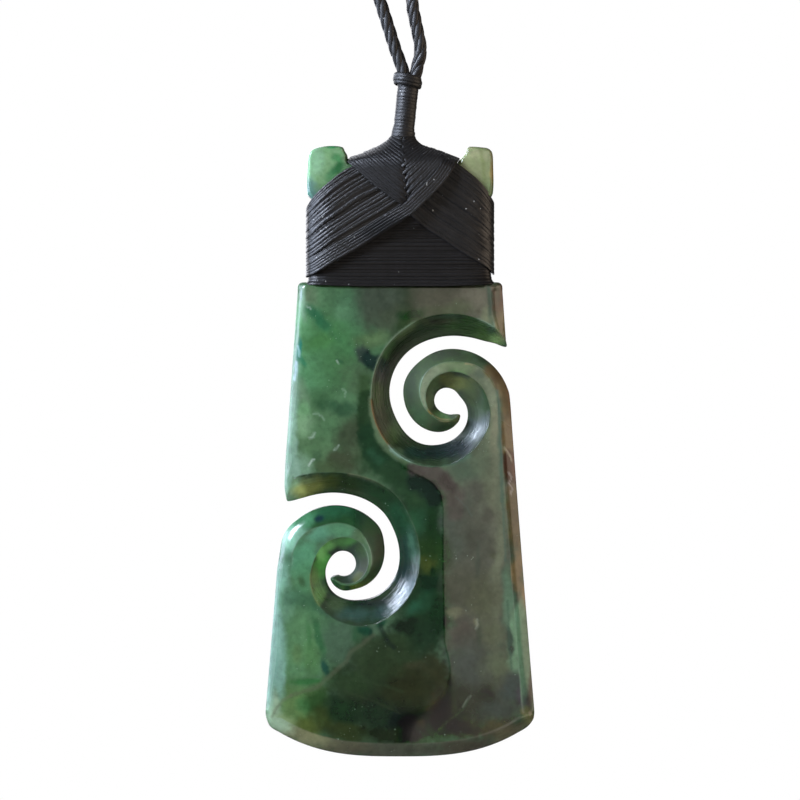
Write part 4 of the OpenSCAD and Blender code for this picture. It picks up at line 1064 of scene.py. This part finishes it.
def stone_colour(x, h, parts):
    """Mottled green: a cloudy base with the patches, flows and lines laid over it, each fading
    out over a wavering edge; then the room's sheen on the flat face is taken off."""
    u, v = VIEW_X + VIEW_PER_MM * x, VIEW_FOOT - VIEW_PER_MM * h
    wide_u, wide_v = wavering(u, v, 26, (11, 29), 16)
    fine_u, fine_v = wavering(u, v, 6, (17, 37), 4)
    wu, wv = u + wide_u + fine_u, v + wide_v + fine_v
    frayed, ground, pale_ground = 0.45, "#3A5A40", "#5A7B5E"
    fray = frayed * (cloud(u, v, 4.0, 91, 3) - 0.5)
    tone = cloud(x, h, 6.0, 3)[:, None]
    colour = linear(ground) * (1 - tone) + linear(pale_ground) * tone
    for part, patches in PATCHES.items():
        for pu, pv, half_w, half_h, turn, code, strength, blur in patches:
            a = np.radians(turn)
            # Small patches waver less than large ones
            calm = min(1, min(half_w, half_h) / 8)
            du = u + (wu - u) * calm - pu
            dv = v + (wv - v) * calm - pv
            far = np.hypot((du * np.cos(a) - dv * np.sin(a)) / half_w,
                           (du * np.sin(a) + dv * np.cos(a)) / half_h) + fray
            share = strength * ease(1 + 0.75 * blur, 1 - 0.75 * blur, far) * parts[part]
            colour = laid(colour, code, share)
    for part, width, code, strength, blur, points in FLOWS:
        far = to_line(u + 0.35 * (wu - u), v + 0.35 * (wv - v), points) / width + fray
        colour = laid(colour, code, strength * ease(1 + blur, 1 - blur, far) * parts[part])
    # Felted mottling of two sizes, in brightness alone
    coarse, fine = 0.75 + 0.5 * cloud(u, v, 10, 71, 5), 0.86 + 0.28 * cloud(u, v, 3.0, 83, 2)
    colour = colour * (coarse * fine)[:, None] * HUE
    for part, width, code, strength, points in LINES:
        far = to_line(u + 0.5 * fine_u, v + 0.5 * fine_v, points) / width
        colour = laid(colour, code, strength * ease(1, 0.2, far) * parts[part])
    flat = parts["face"] - parts["rind"] - parts["left"] - parts["blade"]
    colour = colour - (flat * sheen(x, h))[:, None] * WALL_TINT
    return np.maximum(colour, DARKEST) / LIGHT


def carved_band(ring):
    """The band from the cut edge to the ridge, level by level: each point's distance from the
    edge, its height above the stone's middle plane, and its place across and up.

    The height grows from the edge's thickness to the face's by a power of the way across:
    hollow in the flutes, straight on the bevels, rounded at the sides. The cut edge itself is
    eased by a quarter circle, smaller where the band is narrow."""
    steepest, ease_r, narrow, first, last = 1.15, 0.12, 0.6, 0.035, 0.04
    rim, ridge = ring[:, :2], ring[:, 2:4]
    half_edge, share, zone = ring[:, 5], ring[:, 6], ring[:, 7]
    across = ridge - rim
    width = np.linalg.norm(across, axis=1)
    across = across / width[:, None]
    top = half_thickness(ridge[:, 0], ridge[:, 1])
    half_edge = np.where((zone == FLUTE) | (zone == ARM),
                         np.maximum(half_edge, top - steepest * width), half_edge)
    tight = np.minimum(1, width / narrow)
    eased_w = ease_r * tight
    even = np.linspace(0, 1, 9)[1:-1]
    ways = np.stack([0 * width, first * tight, eased_w]
                    + [eased_w + (width - 2 * eased_w) * e for e in even]
                    + [width - eased_w, width - last * tight, width], 0)
    s = np.clip(ways / width, 0, 1)
    hollowed = share <= STRAIGHT
    power = np.where(hollowed, np.log(np.clip(share, 0.01, STRAIGHT)),
                     np.log(1 - np.clip(share, STRAIGHT, 0.99))) / np.log(0.5)
    grown = np.where(hollowed, s**power, 1 - (1 - s) ** power)
    eased = eased_w * (1 - np.sqrt(1 - (1 - np.minimum(ways / eased_w, 1)) ** 2))
    z = half_edge + (top - half_edge) * grown - eased
    return ways, z, rim + across * ways[..., None]


def face_support(ridge, rim):
    """A line of points close inside the ridge, left out where the face is too narrow for it."""
    close, room = 0.13, 0.1
    support = ridge + unit(ridge - rim) * close
    support = support[inside(support, ridge)]
    return support[nearest(support, ridge) > room]


def filled_face(ridge, support, step, first):
    """The flat face: the ridge, the points close inside it and an even triangular grid, joined
    by Delaunay triangles that keep the ridge; none of the grid is laid where the binding hides
    the face. Gives the points inside the ridge and all triangles, with the ridge numbered from
    the first number on."""
    n = len(ridge)
    row_tall, room, merged = 0.866, 0.24, 1e-5
    gx, gh = np.meshgrid(np.arange(-BODY_BASE_W, BODY_BASE_W + 0.1, step),
                         np.arange(0.1, EAR_H, step * row_tall))
    gx = gx + (np.arange(len(gh)) % 2)[:, None] * step / 2
    grid = np.c_[gx.ravel(), gh.ravel()]
    low, high = HIDDEN_H
    hidden = (grid[:, 1] > low) & (grid[:, 1] < high) & (np.abs(grid[:, 0]) < HIDDEN_W)
    grid = grid[~hidden]
    grid = grid[inside(grid, ridge)]
    grid = grid[nearest(grid, ridge) > room]
    points = np.r_[ridge, support, grid]
    edges = np.c_[np.arange(n), (np.arange(n) + 1) % n]
    found, _, fills, origins, _, _ = delaunay_2d_cdt(points.tolist(), edges.tolist(), [], 1,
                                                     merged)
    found = np.array([tuple(p) for p in found])
    source = np.array([o[0] if o else -1 for o in origins])
    on_ridge = (source >= 0) & (source < n)
    free = np.flatnonzero(~on_ridge)
    number = np.zeros(len(found), int)
    number[on_ridge] = first + source[on_ridge]
    number[free] = first + n + np.arange(len(free))
    return found[free], number[np.array(fills)]


def polish(x, h, kind, outwards, upper):
    """Roughness of the stone: fine on the flat face, duller in the carving and towards its cut
    edges, most of all close to the eyes and on the arms, and a little low on the right."""
    eye_far = np.minimum(from_eye(x, h, UPPER_EYE), from_eye(x, h, LOWER_EYE))
    dull = kind @ ZONE_DULL + (RIND_DULL * kind[:, RIND] + LEFT_DULL * kind[:, LEFT]) * outwards
    dull = dull + kind[:, FLUTE] * (EYE_DULL * ease(5.8, 4.2, eye_far) + UPPER_FLUTE_DULL * upper)
    right_flank = ease(0.5, 3.5, x - LOWER_EYE[0])
    dull = dull + kind[:, ARM] * np.where(upper, UPPER_ARM_DULL, LOWER_ARM_DULL * right_flank)
    dull = dull + LOW_DULL * ease(13, 8, h) * ease(2.5, 6.5, x) * (1 - kind.sum(1))
    return FACE_ROUGH + dull


def carve_stone(material):
    """The whole stone in one skin: a wall along the cut edge, a band of levels from the edge to
    the ridge on each face, and the flat face inside the ridge filled with even triangles, finer
    in front than behind."""
    outline_step, front_step, back_step = 0.3, 0.25, 0.6
    ring = fine_outline(outline_step)
    rim, ridge, zone = ring[:, :2], ring[:, 2:4], ring[:, 7]
    n = len(ring)
    width = np.linalg.norm(ridge - rim, axis=1)
    ways, z, flat = carved_band(ring)
    levels = len(ways)
    reach = run_length(rim)
    support = face_support(ridge, rim)
    shares = zone_shares(zone, 4)
    i = np.arange(n)
    j = (i + 1) % n
    quads = np.concatenate([np.c_[k * n + i, k * n + j, (k + 1) * n + j, (k + 1) * n + i]
                            for k in range(levels - 1)])
    # How far the inner face counts from the edge, how softly the carving ends, how wide its
    # ridge catches the light, and where the skin of the right edge lies
    far_inside, on_edge, ridge_w, outer_x, outer_h = 9.0, 0.15, 0.2, (10.5, 12.0), 60
    sides, start = [], 0
    for sign, step in ((-1, front_step), (1, back_step)):
        face, tris = filled_face(ridge, support, step, (levels - 1) * n)
        x = np.r_[flat[..., 0].ravel(), face[:, 0]]
        h = np.r_[flat[..., 1].ravel(), face[:, 1]]
        y = sign * np.r_[z.ravel(), half_thickness(face[:, 0], face[:, 1])]
        way = np.r_[ways.ravel(), np.full(len(face), far_inside)]
        wide = np.r_[np.tile(width, levels), np.zeros(len(face))]
        kind = np.r_[np.tile(shares, (levels, 1)), np.zeros((len(face), BLADE + 1))]
        kind = kind * np.clip((wide - way) / on_edge + 0.5, 0, 1)[:, None]
        upper = from_eye(x, h, UPPER_EYE) < from_eye(x, h, LOWER_EYE)
        outwards = ease(0, 0.8, (wide - way) / np.maximum(wide, 0.01))
        parts = {"face": 1 - (kind[:, FLUTE] + kind[:, ARM]), "head": (h > STEP_H) * 1.0,
                 "upper flute": kind[:, FLUTE] * upper, "lower flute": kind[:, FLUTE] * ~upper,
                 "upper arm": kind[:, ARM] * upper, "lower arm": kind[:, ARM] * ~upper,
                 "rind": kind[:, RIND], "left": kind[:, LEFT] * outwards, "blade": kind[:, BLADE],
                 "outer": ease(*outer_x, x) * (h < outer_h),
                 "ridge": np.r_[ease(ridge_w, 0.0, np.abs(width - ways)).ravel(),
                                ease(ridge_w, 0.0, nearest(face, ridge))]}
        tint = stone_colour(x, h, parts)
        grain = np.c_[np.r_[ways.ravel(), face[:, 0]],
                      np.r_[np.tile(reach, levels), face[:, 1]],
                      kind[:, FLUTE] + ARM_GRAIN * kind[:, ARM]]
        corners = [quads[:, ::sign * -1] + start, tris[:, ::sign * -1] + start]
        rough = polish(x, h, kind, outwards, upper)
        sides.append((np.c_[x, y, h], corners, tint, grain, rough[:, None] * [1, 1, 1]))
        start += len(x)
    half = len(sides[0][0])
    wall = np.c_[half + i, half + j, j, i]
    corners = [part.ravel() for made in sides for part in made[1]] + [wall.ravel()]
    counts = [np.full(len(part), part.shape[1]) for made in sides for part in made[1]]
    counts.append(np.full(n, 4))
    verts, tint, grain, rough = (np.concatenate([made[k] for made in sides]) for k in (0, 2, 3, 4))
    return add_piece("Carved_stone", to_frame(verts), np.concatenate(corners), material, "stone",
                     {"Stone_colour": tint, "Polish": rough}, {"Carving": grain},
                     uneven=np.concatenate(counts))


# Threads and cord

def along_sheet(way):
    """Ways from thread to thread, each averaged with its neighbours over five threads."""
    ends = np.concatenate([way[:1]] * 2 + [way] + [way[-1:]] * 2)
    return sum(ends[k:k + len(way)] for k in range(5)) / 5


def tubes(paths, radius, sides, up=None, closed=False, press=1.0):
    """Tubes along many paths at once: at each point a circle of the radius, square to the path,
    from the cross products of its direction with an up vector, pressed flatter one way.
    Without an up vector the way to the neighbouring threads is taken, so that every thread
    lies flat on the sheet that they make, and the radius is a share of the room between them.

    Paths are (count, points, 3) in millimetres. Returns points, faces and, for the twist, each
    point's cosine, sine and way along."""
    least_room, most_room = 0.18, 0.7
    count, length, _ = paths.shape
    if closed:
        run = np.roll(paths, -1, 1) - np.roll(paths, 1, 1)
    else:
        run = np.gradient(paths, axis=1)
    run = unit(run)
    if up is None:
        way = np.gradient(paths, axis=0)
        room = np.linalg.norm(np.cross(run, way), axis=2)
        radius = radius * np.clip(room, least_room, most_room)
        up = along_sheet(way)
    one = unit(np.cross(run, up))
    two = np.cross(run, one)
    angle = 2 * np.pi * np.arange(sides) / sides
    radius = np.broadcast_to(np.asarray(radius, float), (count, length))[:, :, None, None]
    ring = (press * np.cos(angle)[:, None] * one[:, :, None]
            + np.sin(angle)[:, None] * two[:, :, None])
    verts = paths[:, :, None] + radius * ring
    gap = np.linalg.norm(np.diff(paths, axis=1), axis=2)
    far = np.concatenate([np.zeros((count, 1)), np.cumsum(gap, 1)], 1)
    strand = np.stack(np.broadcast_arrays(np.cos(angle), np.sin(angle), far[..., None]), -1)
    index = np.arange(count * length * sides).reshape(count, length, sides)
    nxt = np.roll(index, -1, 2)
    if closed:
        here, there, here_n, there_n = index, np.roll(index, -1, 1), nxt, np.roll(nxt, -1, 1)
    else:
        here, there, here_n, there_n = index[:, :-1], index[:, 1:], nxt[:, :-1], nxt[:, 1:]
    faces = np.stack([here, here_n, there_n, there], -1).reshape(-1, 4)
    return verts.reshape(-1, 3), faces, strand.reshape(-1, 3)


def sheet_between(paths, closed=False):
    """A skin joining the middles of neighbouring threads, so that no gap shows what is inside."""
    count, length, _ = paths.shape
    index = np.arange(count * length).reshape(count, length)
    nxt = np.roll(index, -1, 1)
    a, b = (index, nxt) if closed else (index[:, :-1], index[:, 1:])
    faces = np.stack([a[:-1], b[:-1], b[1:], a[1:]], -1).reshape(-1, 4)
    strand = np.zeros((count * length, 3))
    strand[:, 0] = 1
    return paths.reshape(-1, 3), faces, strand


def joined(*meshes):
    """Several meshes as one."""
    shift = np.cumsum([0] + [len(m[0]) for m in meshes[:-1]])
    return (np.concatenate([m[0] for m in meshes]),
            np.concatenate([m[1] + s for m, s in zip(meshes, shift)]),
            np.concatenate([m[2] for m in meshes]))


def thread_piece(name, meshes, material, cad_node):
    """One piece from thread meshes in pendant millimetres."""
    verts, faces, strand = joined(*meshes)
    return add_piece(name, to_frame(verts), faces, material, cad_node,
                     vectors={"Strand": strand})


def jitter(count, length, size, knots, seed):
    """Slow wavering along each of many threads: random values at a few knots, smoothly joined."""
    random = np.random.default_rng(seed).normal(0, size, (knots, count))
    return curve(np.linspace(0, 1, knots), random, np.linspace(0, 1, length)).T


def spread(count, size, seed):
    """One random shift for each of many threads."""
    return size * np.random.default_rng(seed).normal(0, 1, (count, 1))


def thread_sheet(paths, radius, closed=False):
    """Wound threads side by side, with the skin between them."""
    return [tubes(paths, radius, THREAD_SIDES, closed=closed, press=THREAD_PRESS),
            sheet_between(paths, closed)]


def thread_radii(count, seed):
    """Half widths of many threads as shares of their room, one a little fuller than the next."""
    return THREAD_FILL * (1 + spread(count, 0.06, seed))


def base_threads():
    """Level turns round the waist: each a box with rounded corners seen from above, from powers
    of the cosine and sine; the lowest turns flare over the shoulder and sag in the middle."""
    count, length, pitch, foot = 26, 150, 0.385, 65.72
    half_w, half_d, flare_w, flare_d = 12.55, 3.42, 0.5, 0.3
    sag, sag_turns, sag_w = 0.38, 4, 13.5
    corner_x, corner_y = 0.2, 0.35
    i = np.arange(count)[:, None]
    t = np.linspace(0, 2 * np.pi, length, endpoint=False)[None]
    wide = half_w + flare_w * np.exp(-i / 1.2)
    deep = half_d + flare_d * np.exp(-i / 1.3) + spread(count, 0.025, 8)
    c, s = np.cos(t), np.sin(t)
    x = np.sign(c) * np.abs(c) ** corner_x * wide
    y = -np.sign(s) * np.abs(s) ** corner_y * deep
    h = foot + pitch * i - sag * np.exp(-i / sag_turns) * (1 - (x / sag_w) ** 2)
    h = h + spread(count, 0.05, 5)
    wave = jitter(count, length + 1, 0.06, 9, 6)[:, :-1] * np.sin(t / 2) ** 2
    return thread_sheet(np.stack([x, y, h + wave], -1), thread_radii(count, 7), closed=True)


def there_and_back(front):
    """Threads in front led on behind the same way, mirrored in depth from where they turn."""
    return np.concatenate([front, front[:, -2::-1] * [1, -1, 1]], 1)


def wound(side, lines, depth):
    """Threads carried round the side of the head: from seen lines (x, h), each full depth in
    front, a quarter of a squarish oval (third powers) down to the side, and back behind."""
    side_x, corner, flat_count, oval_count = 13.05, 5.2, 40, 15
    order = side * lines[..., 0]
    edge = side_x - corner
    start = order.min(1, keepdims=True)
    flat_x = np.linspace(0, 1, flat_count)[None] * (edge - start) + start
    oval_x = edge + corner * np.sin(np.linspace(0, 0.5 * np.pi, oval_count))
    x = np.concatenate([flat_x[:, :-1], np.broadcast_to(oval_x, (len(lines), oval_count))], 1)
    h = np.stack([np.interp(x[k], np.sort(order[k]), lines[k, np.argsort(order[k]), 1])
                  for k in range(len(lines))])
    y = -depth * np.cbrt(np.clip(1 - np.clip((x - edge) / corner, 0, 1) ** 3, 0, 1))
    return there_and_back(np.stack([side * x, y, h], -1))


def band_threads(low, high, side, count, seed):
    """A fan of threads between a low and a high line, a few of them bunched a little."""
    length = 50
    w = np.linspace(0, 1, count)[:, None, None] + spread(count, 0.013, seed)[..., None]
    fan = along(low, length)[None] * (1 - w) + along(high, length)[None] * w
    fan[..., 1] += jitter(count, length, 0.05, 6, seed)
    paths = wound(side, fan, BAND_D)
    paths[:, :, 1] *= 1 + spread(count, 0.016, seed + 2)
    return thread_sheet(paths, thread_radii(count, seed + 3))


def ribbon_threads(side, points, count, pitch, lift, seed):
    """The last threads of a crossing, laid side by side over the rest: copies of one seen line,
    each shifted square to it and led to its own place on the tent's outline, riding at the
    depth of what lies under them; they turn over the outline and come back behind."""
    length, led_from, first_end, end_step = 60, 0.66, 2, 3
    line = along(points, length)
    run = unit(np.gradient(line, axis=0))
    across = np.stack([-run[:, 1], run[:, 0]], -1) * np.sign(run[:, :1])
    lines = line[None] + across[None] * (np.arange(count) * pitch)[:, None, None]
    ends = along(TENT_RIGHT, 60)[first_end + end_step * np.arange(count)]
    t = ease(led_from, 1.0, np.linspace(0, 1, length))[None, :, None]
    lines = lines + t * (ends - lines[:, -1])[:, None]
    lines[..., 1] += jitter(count, length, 0.02, 5, seed) * (1 - t[..., 0])
    paths = wound(side, lines, BAND_D + lift)
    front = len(paths[0]) // 2 + 1
    x, h = paths[:, :front, 0], paths[:, :front, 2]
    high = lift * ease(83.0, 80.0, h)
    climbed = ease(70.8, 75.2, h)
    deep = -paths[:, :front, 1] * (1 - climbed) + (tent_depth(x, h, TENT) + high) * climbed
    deep[:, 0] = 0
    paths[:, :front, 1] = -deep
    paths = there_and_back(paths[:, :front])
    return [tubes(paths[:, :-1], THREAD_FILL, THREAD_SIDES, closed=True, press=THREAD_PRESS),
            sheet_between(paths)]


def tent_depth(x, h, outline):
    """Half depth of the plaited top at a point: a quarter oval up from its outline to
    the full depth, which drops from the crossing to the foot of the whipping, and is crowned by
    a parabola across the plait line."""
    crown, crown_x, crown_w, oval_w = 0.75, 0.8, 7, 1.7
    gap = nearest(np.c_[x.ravel(), h.ravel()], outline).reshape(x.shape)
    full = curve(TENT_DEPTH[:, 0], TENT_DEPTH[:, 1], h)
    full = full + crown * ease(86, 82, h) * (1 - (np.clip(x - crown_x, -8, 8) / crown_w) ** 2)
    near = 1 - np.minimum(gap / ease(79, 85, h).clip(0.3, 1) / oval_w, 1)
    return full * np.sqrt(1 - near**2)


def chevron_threads(side, outline, tent, count, steep, seed):
    """Threads of the plaited top: each starts across the plait line, every second one further
    over and a little higher, climbs to the tent's outline, turns over it and comes down the
    same way behind."""
    length, over_w, second_w, least_over, knot, over_lift = 34, 0.5, 0.8, 0.35, 0.5, 0.06
    start_way, sag_way = np.array([side * -0.75, -0.55]), np.array([side * 0.35, -0.25])
    sag_low, sag_high, early = 1, 0.1, 0.9
    t = np.linspace(0, 1, count) ** steep
    v = np.stack([np.interp(t, np.linspace(0, 1, 200), part)
                  for part in along(PLAIT_LINE, 200).T], -1)
    o = along(tent, count)
    over = (over_w + second_w * (np.arange(count) % 2)) * ease(75.4, 77.5, v[:, 1])
    over = over * (least_over + (1 - least_over) * ease(86, 83, v[:, 1]))
    start = v + over[:, None] * start_way
    sag = sag_way * np.linspace(sag_low, sag_high, count)[:, None]
    middle = (v + o) / 2 + sag
    way = np.linspace(0, 1, length)
    t = way[None, :, None] ** early
    path = ((1 - t) ** 2 * start[:, None] + 2 * t * (1 - t) * middle[:, None] + t**2 * o[:, None])
    path[..., 1] += jitter(count, length, 0.03, 5, seed)
    x, h = path[..., 0], path[..., 1]
    y = -tent_depth(x, h, outline)
    y[:, -1] = 0
    # The start is tucked in behind the other side's threads, the far ones less
    y = y + knot * ease(0.15, 0.0, way) - over_lift * over[:, None] * ease(0.5, 0.2, way)
    return thread_sheet(there_and_back(np.stack([x, y, h], -1)), thread_radii(count, seed + 3))


def coil(axis, far, r, angle):
    """A line coiled round the whipping's leaning axis, by the height along it, radius and angle."""
    side = np.cross(axis, [0, 1, 0])
    out = np.cross(side, axis)
    return (WHIP_FOOT + far[:, None] * axis + (r * np.cos(angle))[:, None] * side
            + (r * np.sin(angle))[:, None] * out)


def whipping_threads():
    """A close coil round the two strands: a helix that leans with the column, a little wider at
    its foot and not quite even; then a slanted collar of three wider turns at its top, a helix
    that bulges by a sine; both over a plain core that closes at its ends."""
    axis = unit(WHIP_HEAD - WHIP_FOOT)
    turns, per_turn, coil_low, coil_tall = 16.5, 28, -0.35, 7.65
    foot_w, lean, wander, wander_rate = 0.2, 0.16, 0.05, 1.7
    t = np.linspace(0, 1, int(turns * per_turn))
    a = -2 * np.pi * turns * t + 1.0
    far = t * coil_tall + coil_low
    r = (WHIP_R - THREAD_R + foot_w * ease(1.1, 0.2, far)
         + wander * (lattice(t * turns * wander_rate, 0 * t, 41) - 0.5))
    close = coil(axis, far + lean * np.cos(a + 0.3), r, a)

    collar_turns, collar_low, collar_tall, collar_r, bulge, slant = 3.2, 6.9, 1.35, 1.66, 0.22, 0.28
    t = np.linspace(0, 1, 120)
    a = -2 * np.pi * collar_turns * t + 2.2
    r = collar_r + bulge * np.sin(np.pi * t) + lean * np.cos(a)
    collar = coil(axis, collar_low + collar_tall * t + slant * np.cos(a + 0.2), r, a)

    core_low, core_tall, core_r, head_w, closing = -0.3, 8.3, 1.32, 0.2, 1.2
    t = np.linspace(0, 1, 24)
    core = WHIP_FOOT + (t * core_tall + core_low)[:, None] * axis
    core_r = core_r + head_w * ease(0.75, 0.9, t) - closing * ease(0.97, 1.0, t)
    return [tubes(close[None], THREAD_R + 0.03, THREAD_SIDES, axis, press=0.24),
            tubes(collar[None], THREAD_R * 1.3, THREAD_SIDES, axis, press=0.5),
            tubes(core[None], core_r[None], 20, [0, 1, 0])]


def cord_loop():
    """The neck cord: five plies laid round the loop's line in a long twist, each a tube on a
    helix, so that the outside stays nearly smooth."""
    plies, twist_mm, ply_way, ply_r, up, length = 5, 9.0, 0.42, 0.5, [0, 0.8, 0.6], 1100
    line = along(LEFT_ROUTE + RIGHT_ROUTE, length)
    run = unit(np.gradient(line, axis=0))
    one = unit(np.cross(run, up))
    two = np.cross(run, one)
    way = run_length(line)
    turns = [2 * np.pi * (way / twist_mm + k / plies) for k in range(plies)]
    return tubes(np.stack([line + ply_way * (np.cos(a)[:, None] * one + np.sin(a)[:, None] * two)
                           for a in turns]), ply_r, THREAD_SIDES, up)


# The pieces

# Outline of the plaited top, closed beside the whipping
TENT = np.r_[along(TENT_LEFT, 80), along(TENT_RIGHT, 80),
             [[-1.25, 88], [-1.2, 87], [2.2, 87], [2.3, 88]]]
greenstone = greenstone_material()
twist = dict(twist_mm=1.6, strands=2)
binding = thread_material("Waxed_binding_thread", "#060505", "#131110", rough=0.34, ior=1.62,
                          depth=0.00004, **twist)
rubbed_binding = thread_material("Rubbed_binding_thread", "#070606", "#151312", rough=0.46,
                                 ior=1.6, depth=0.00004, **twist)
dry_binding = thread_material("Dry_binding_thread", "#060504", "#120F0E", rough=0.36, ior=1.48,
                              depth=0.00003, **twist)
cord_wax = thread_material("Waxed_twisted_cord", "#060505", "#131110", rough=0.32, ior=1.6,
                           twist_mm=3.0, strands=2, depth=0.00006)

carve_stone(greenstone)
thread_piece("Base_winding", base_threads(), dry_binding, "base_wrap")
thread_piece("Left_band", band_threads(LEFT_BAND_LOW, LEFT_BAND_HIGH, -1, count=23, seed=21)
             + ribbon_threads(-1, RIBBON, count=5, pitch=0.36, lift=0.34, seed=23), binding,
             "left_cross_wrap")
thread_piece("Right_band", band_threads(RIGHT_BAND_LOW, RIGHT_BAND_HIGH, 1, count=23, seed=31),
             binding, "right_cross_wrap")
thread_piece("Plaited_top", chevron_threads(-1, TENT, TENT_LEFT, count=19, steep=1.2, seed=51)
             + chevron_threads(1, TENT, TENT_RIGHT, count=21, steep=1.1, seed=61), rubbed_binding,
             "top_wrap")
thread_piece("Whipping", whipping_threads(), rubbed_binding, "neck_whipping")
cord_verts, cord_faces, cord_strand = cord_loop()
add_piece("Neck_cord_plies", cord_verts / 1000, cord_faces, cord_wax, "neck_cord",
          vectors={"Strand": cord_strand})

# Camera: the photograph's frame is 111.1 mm tall at the pendant, and its middle 49.44 mm above
# the stone's foot; the camera stands 0.62 m away
VIEW_MM, VIEW_MID_H, AWAY = 111.1, 49.44, 0.62
lens = bpy.data.cameras.new("Camera")
lens.sensor_width = 36
lens.lens = 36 * AWAY / (VIEW_MM / 1000)
camera = bpy.data.objects.new("Camera", lens)
camera.location = (0, PENDANT_Y / 1000 - AWAY, (PENDANT_Z + VIEW_MID_H) / 1000)
camera.rotation_euler = (np.pi / 2, 0, 0)
bpy.context.scene.collection.objects.link(camera)
bpy.context.scene.camera = camera
bpy.context.scene.view_settings.view_transform = "Standard"


def soft_light(name, place, aim, size, watts, tint, diffuse=True, glossy=True):
    """A rectangular studio light that faces a point, unseen by the camera itself."""
    lamp = bpy.data.lights.new(name, "AREA")
    lamp.shape, lamp.size, lamp.size_y = "RECTANGLE", size[0], size[1]
    lamp.energy, lamp.color = watts, tuple(linear(tint))
    made = bpy.data.objects.new(name, lamp)
    way = np.asarray(aim, float) - np.asarray(place, float)
    made.location = place
    made.rotation_euler = (np.arctan2(np.hypot(way[0], way[1]), -way[2]), 0,
                           np.arctan2(way[1], way[0]) - np.pi / 2)
    made.visible_camera = False
    made.visible_diffuse, made.visible_glossy = diffuse, glossy
    bpy.context.scene.collection.objects.link(made)


# Lights: name, place, aim, size, watts and tint; all but one aim at the middle of the pendant
middle = (0, -0.13, -0.31)
soft_light("Window", (-0.46, -0.45, 0.0), middle, (0.16, 0.26), 6.6, "#DFEAFF")
soft_light("Window_side", (-0.6, -0.14, -0.16), middle, (0.36, 0.4), 3.6, "#D9E6FF")
soft_light("Warm_wall", (0.62, -0.25, -0.22), middle, (0.5, 0.6), 1.6, "#FFE8D0")
soft_light("Front_fill", (0.1, -1.1, -0.1), middle, (0.6, 0.6), 2.0, "#FFF8F0", glossy=False)
soft_light("Back_fill", (-0.3, 0.5, -0.12), middle, (0.5, 0.5), 3.0, "#F4F6FF")
# Walls that the polished face mirrors: their left edge lies behind the camera's line, so that
# the flat face right of the hollow takes a sheen and the hollow beside it stays clear
soft_light("Near_wall", (0.62, -2.13, -0.3), (0.62, -0.13, -0.3), (1.2, 1.3), 3.9, "#FFF1E2",
           diffuse=False)

world = bpy.data.worlds.new("White_room")
bpy.context.scene.world = world
world.use_nodes = True
world.node_tree.nodes.clear()
seen = node(world.node_tree, "ShaderNodeLightPath").outputs["Is Camera Ray"]
level = ranged(world.node_tree, seen, 0.05, 1.0)
air = node(world.node_tree, "ShaderNodeBackground", None, {"Strength": level},
           {"Color": (1, 1, 1, 1)})
node(world.node_tree, "ShaderNodeOutputWorld", None, {"Surface": air.outputs[0]})

# A round pale floor well below the hanging stone
FLOOR_R, FLOOR_Y, FLOOR_Z, FLOOR_CORNERS = 0.45, -0.1, -0.42, 96
floor_mesh = bpy.data.meshes.new("Floor")
turn = np.linspace(0, 2 * np.pi, FLOOR_CORNERS, endpoint=False)
floor_mesh.from_pydata(np.c_[FLOOR_R * np.cos(turn), FLOOR_R * np.sin(turn) + FLOOR_Y,
                             np.full(FLOOR_CORNERS, FLOOR_Z)].tolist(), [],
                       [list(range(FLOOR_CORNERS))])
floor = bpy.data.objects.new("Floor", floor_mesh)
bpy.context.scene.collection.objects.link(floor)
paint, floor_tree = new_material("Pale_floor")
flat_paint = node(floor_tree, "ShaderNodeBsdfPrincipled", None, None,
                  {"Base Color": (0.8, 0.8, 0.79, 1), "Roughness": 0.8})
node(floor_tree, "ShaderNodeOutputMaterial", None, {"Surface": flat_paint.outputs["BSDF"]})
floor_mesh.materials.append(paint)
floor.visible_glossy = False
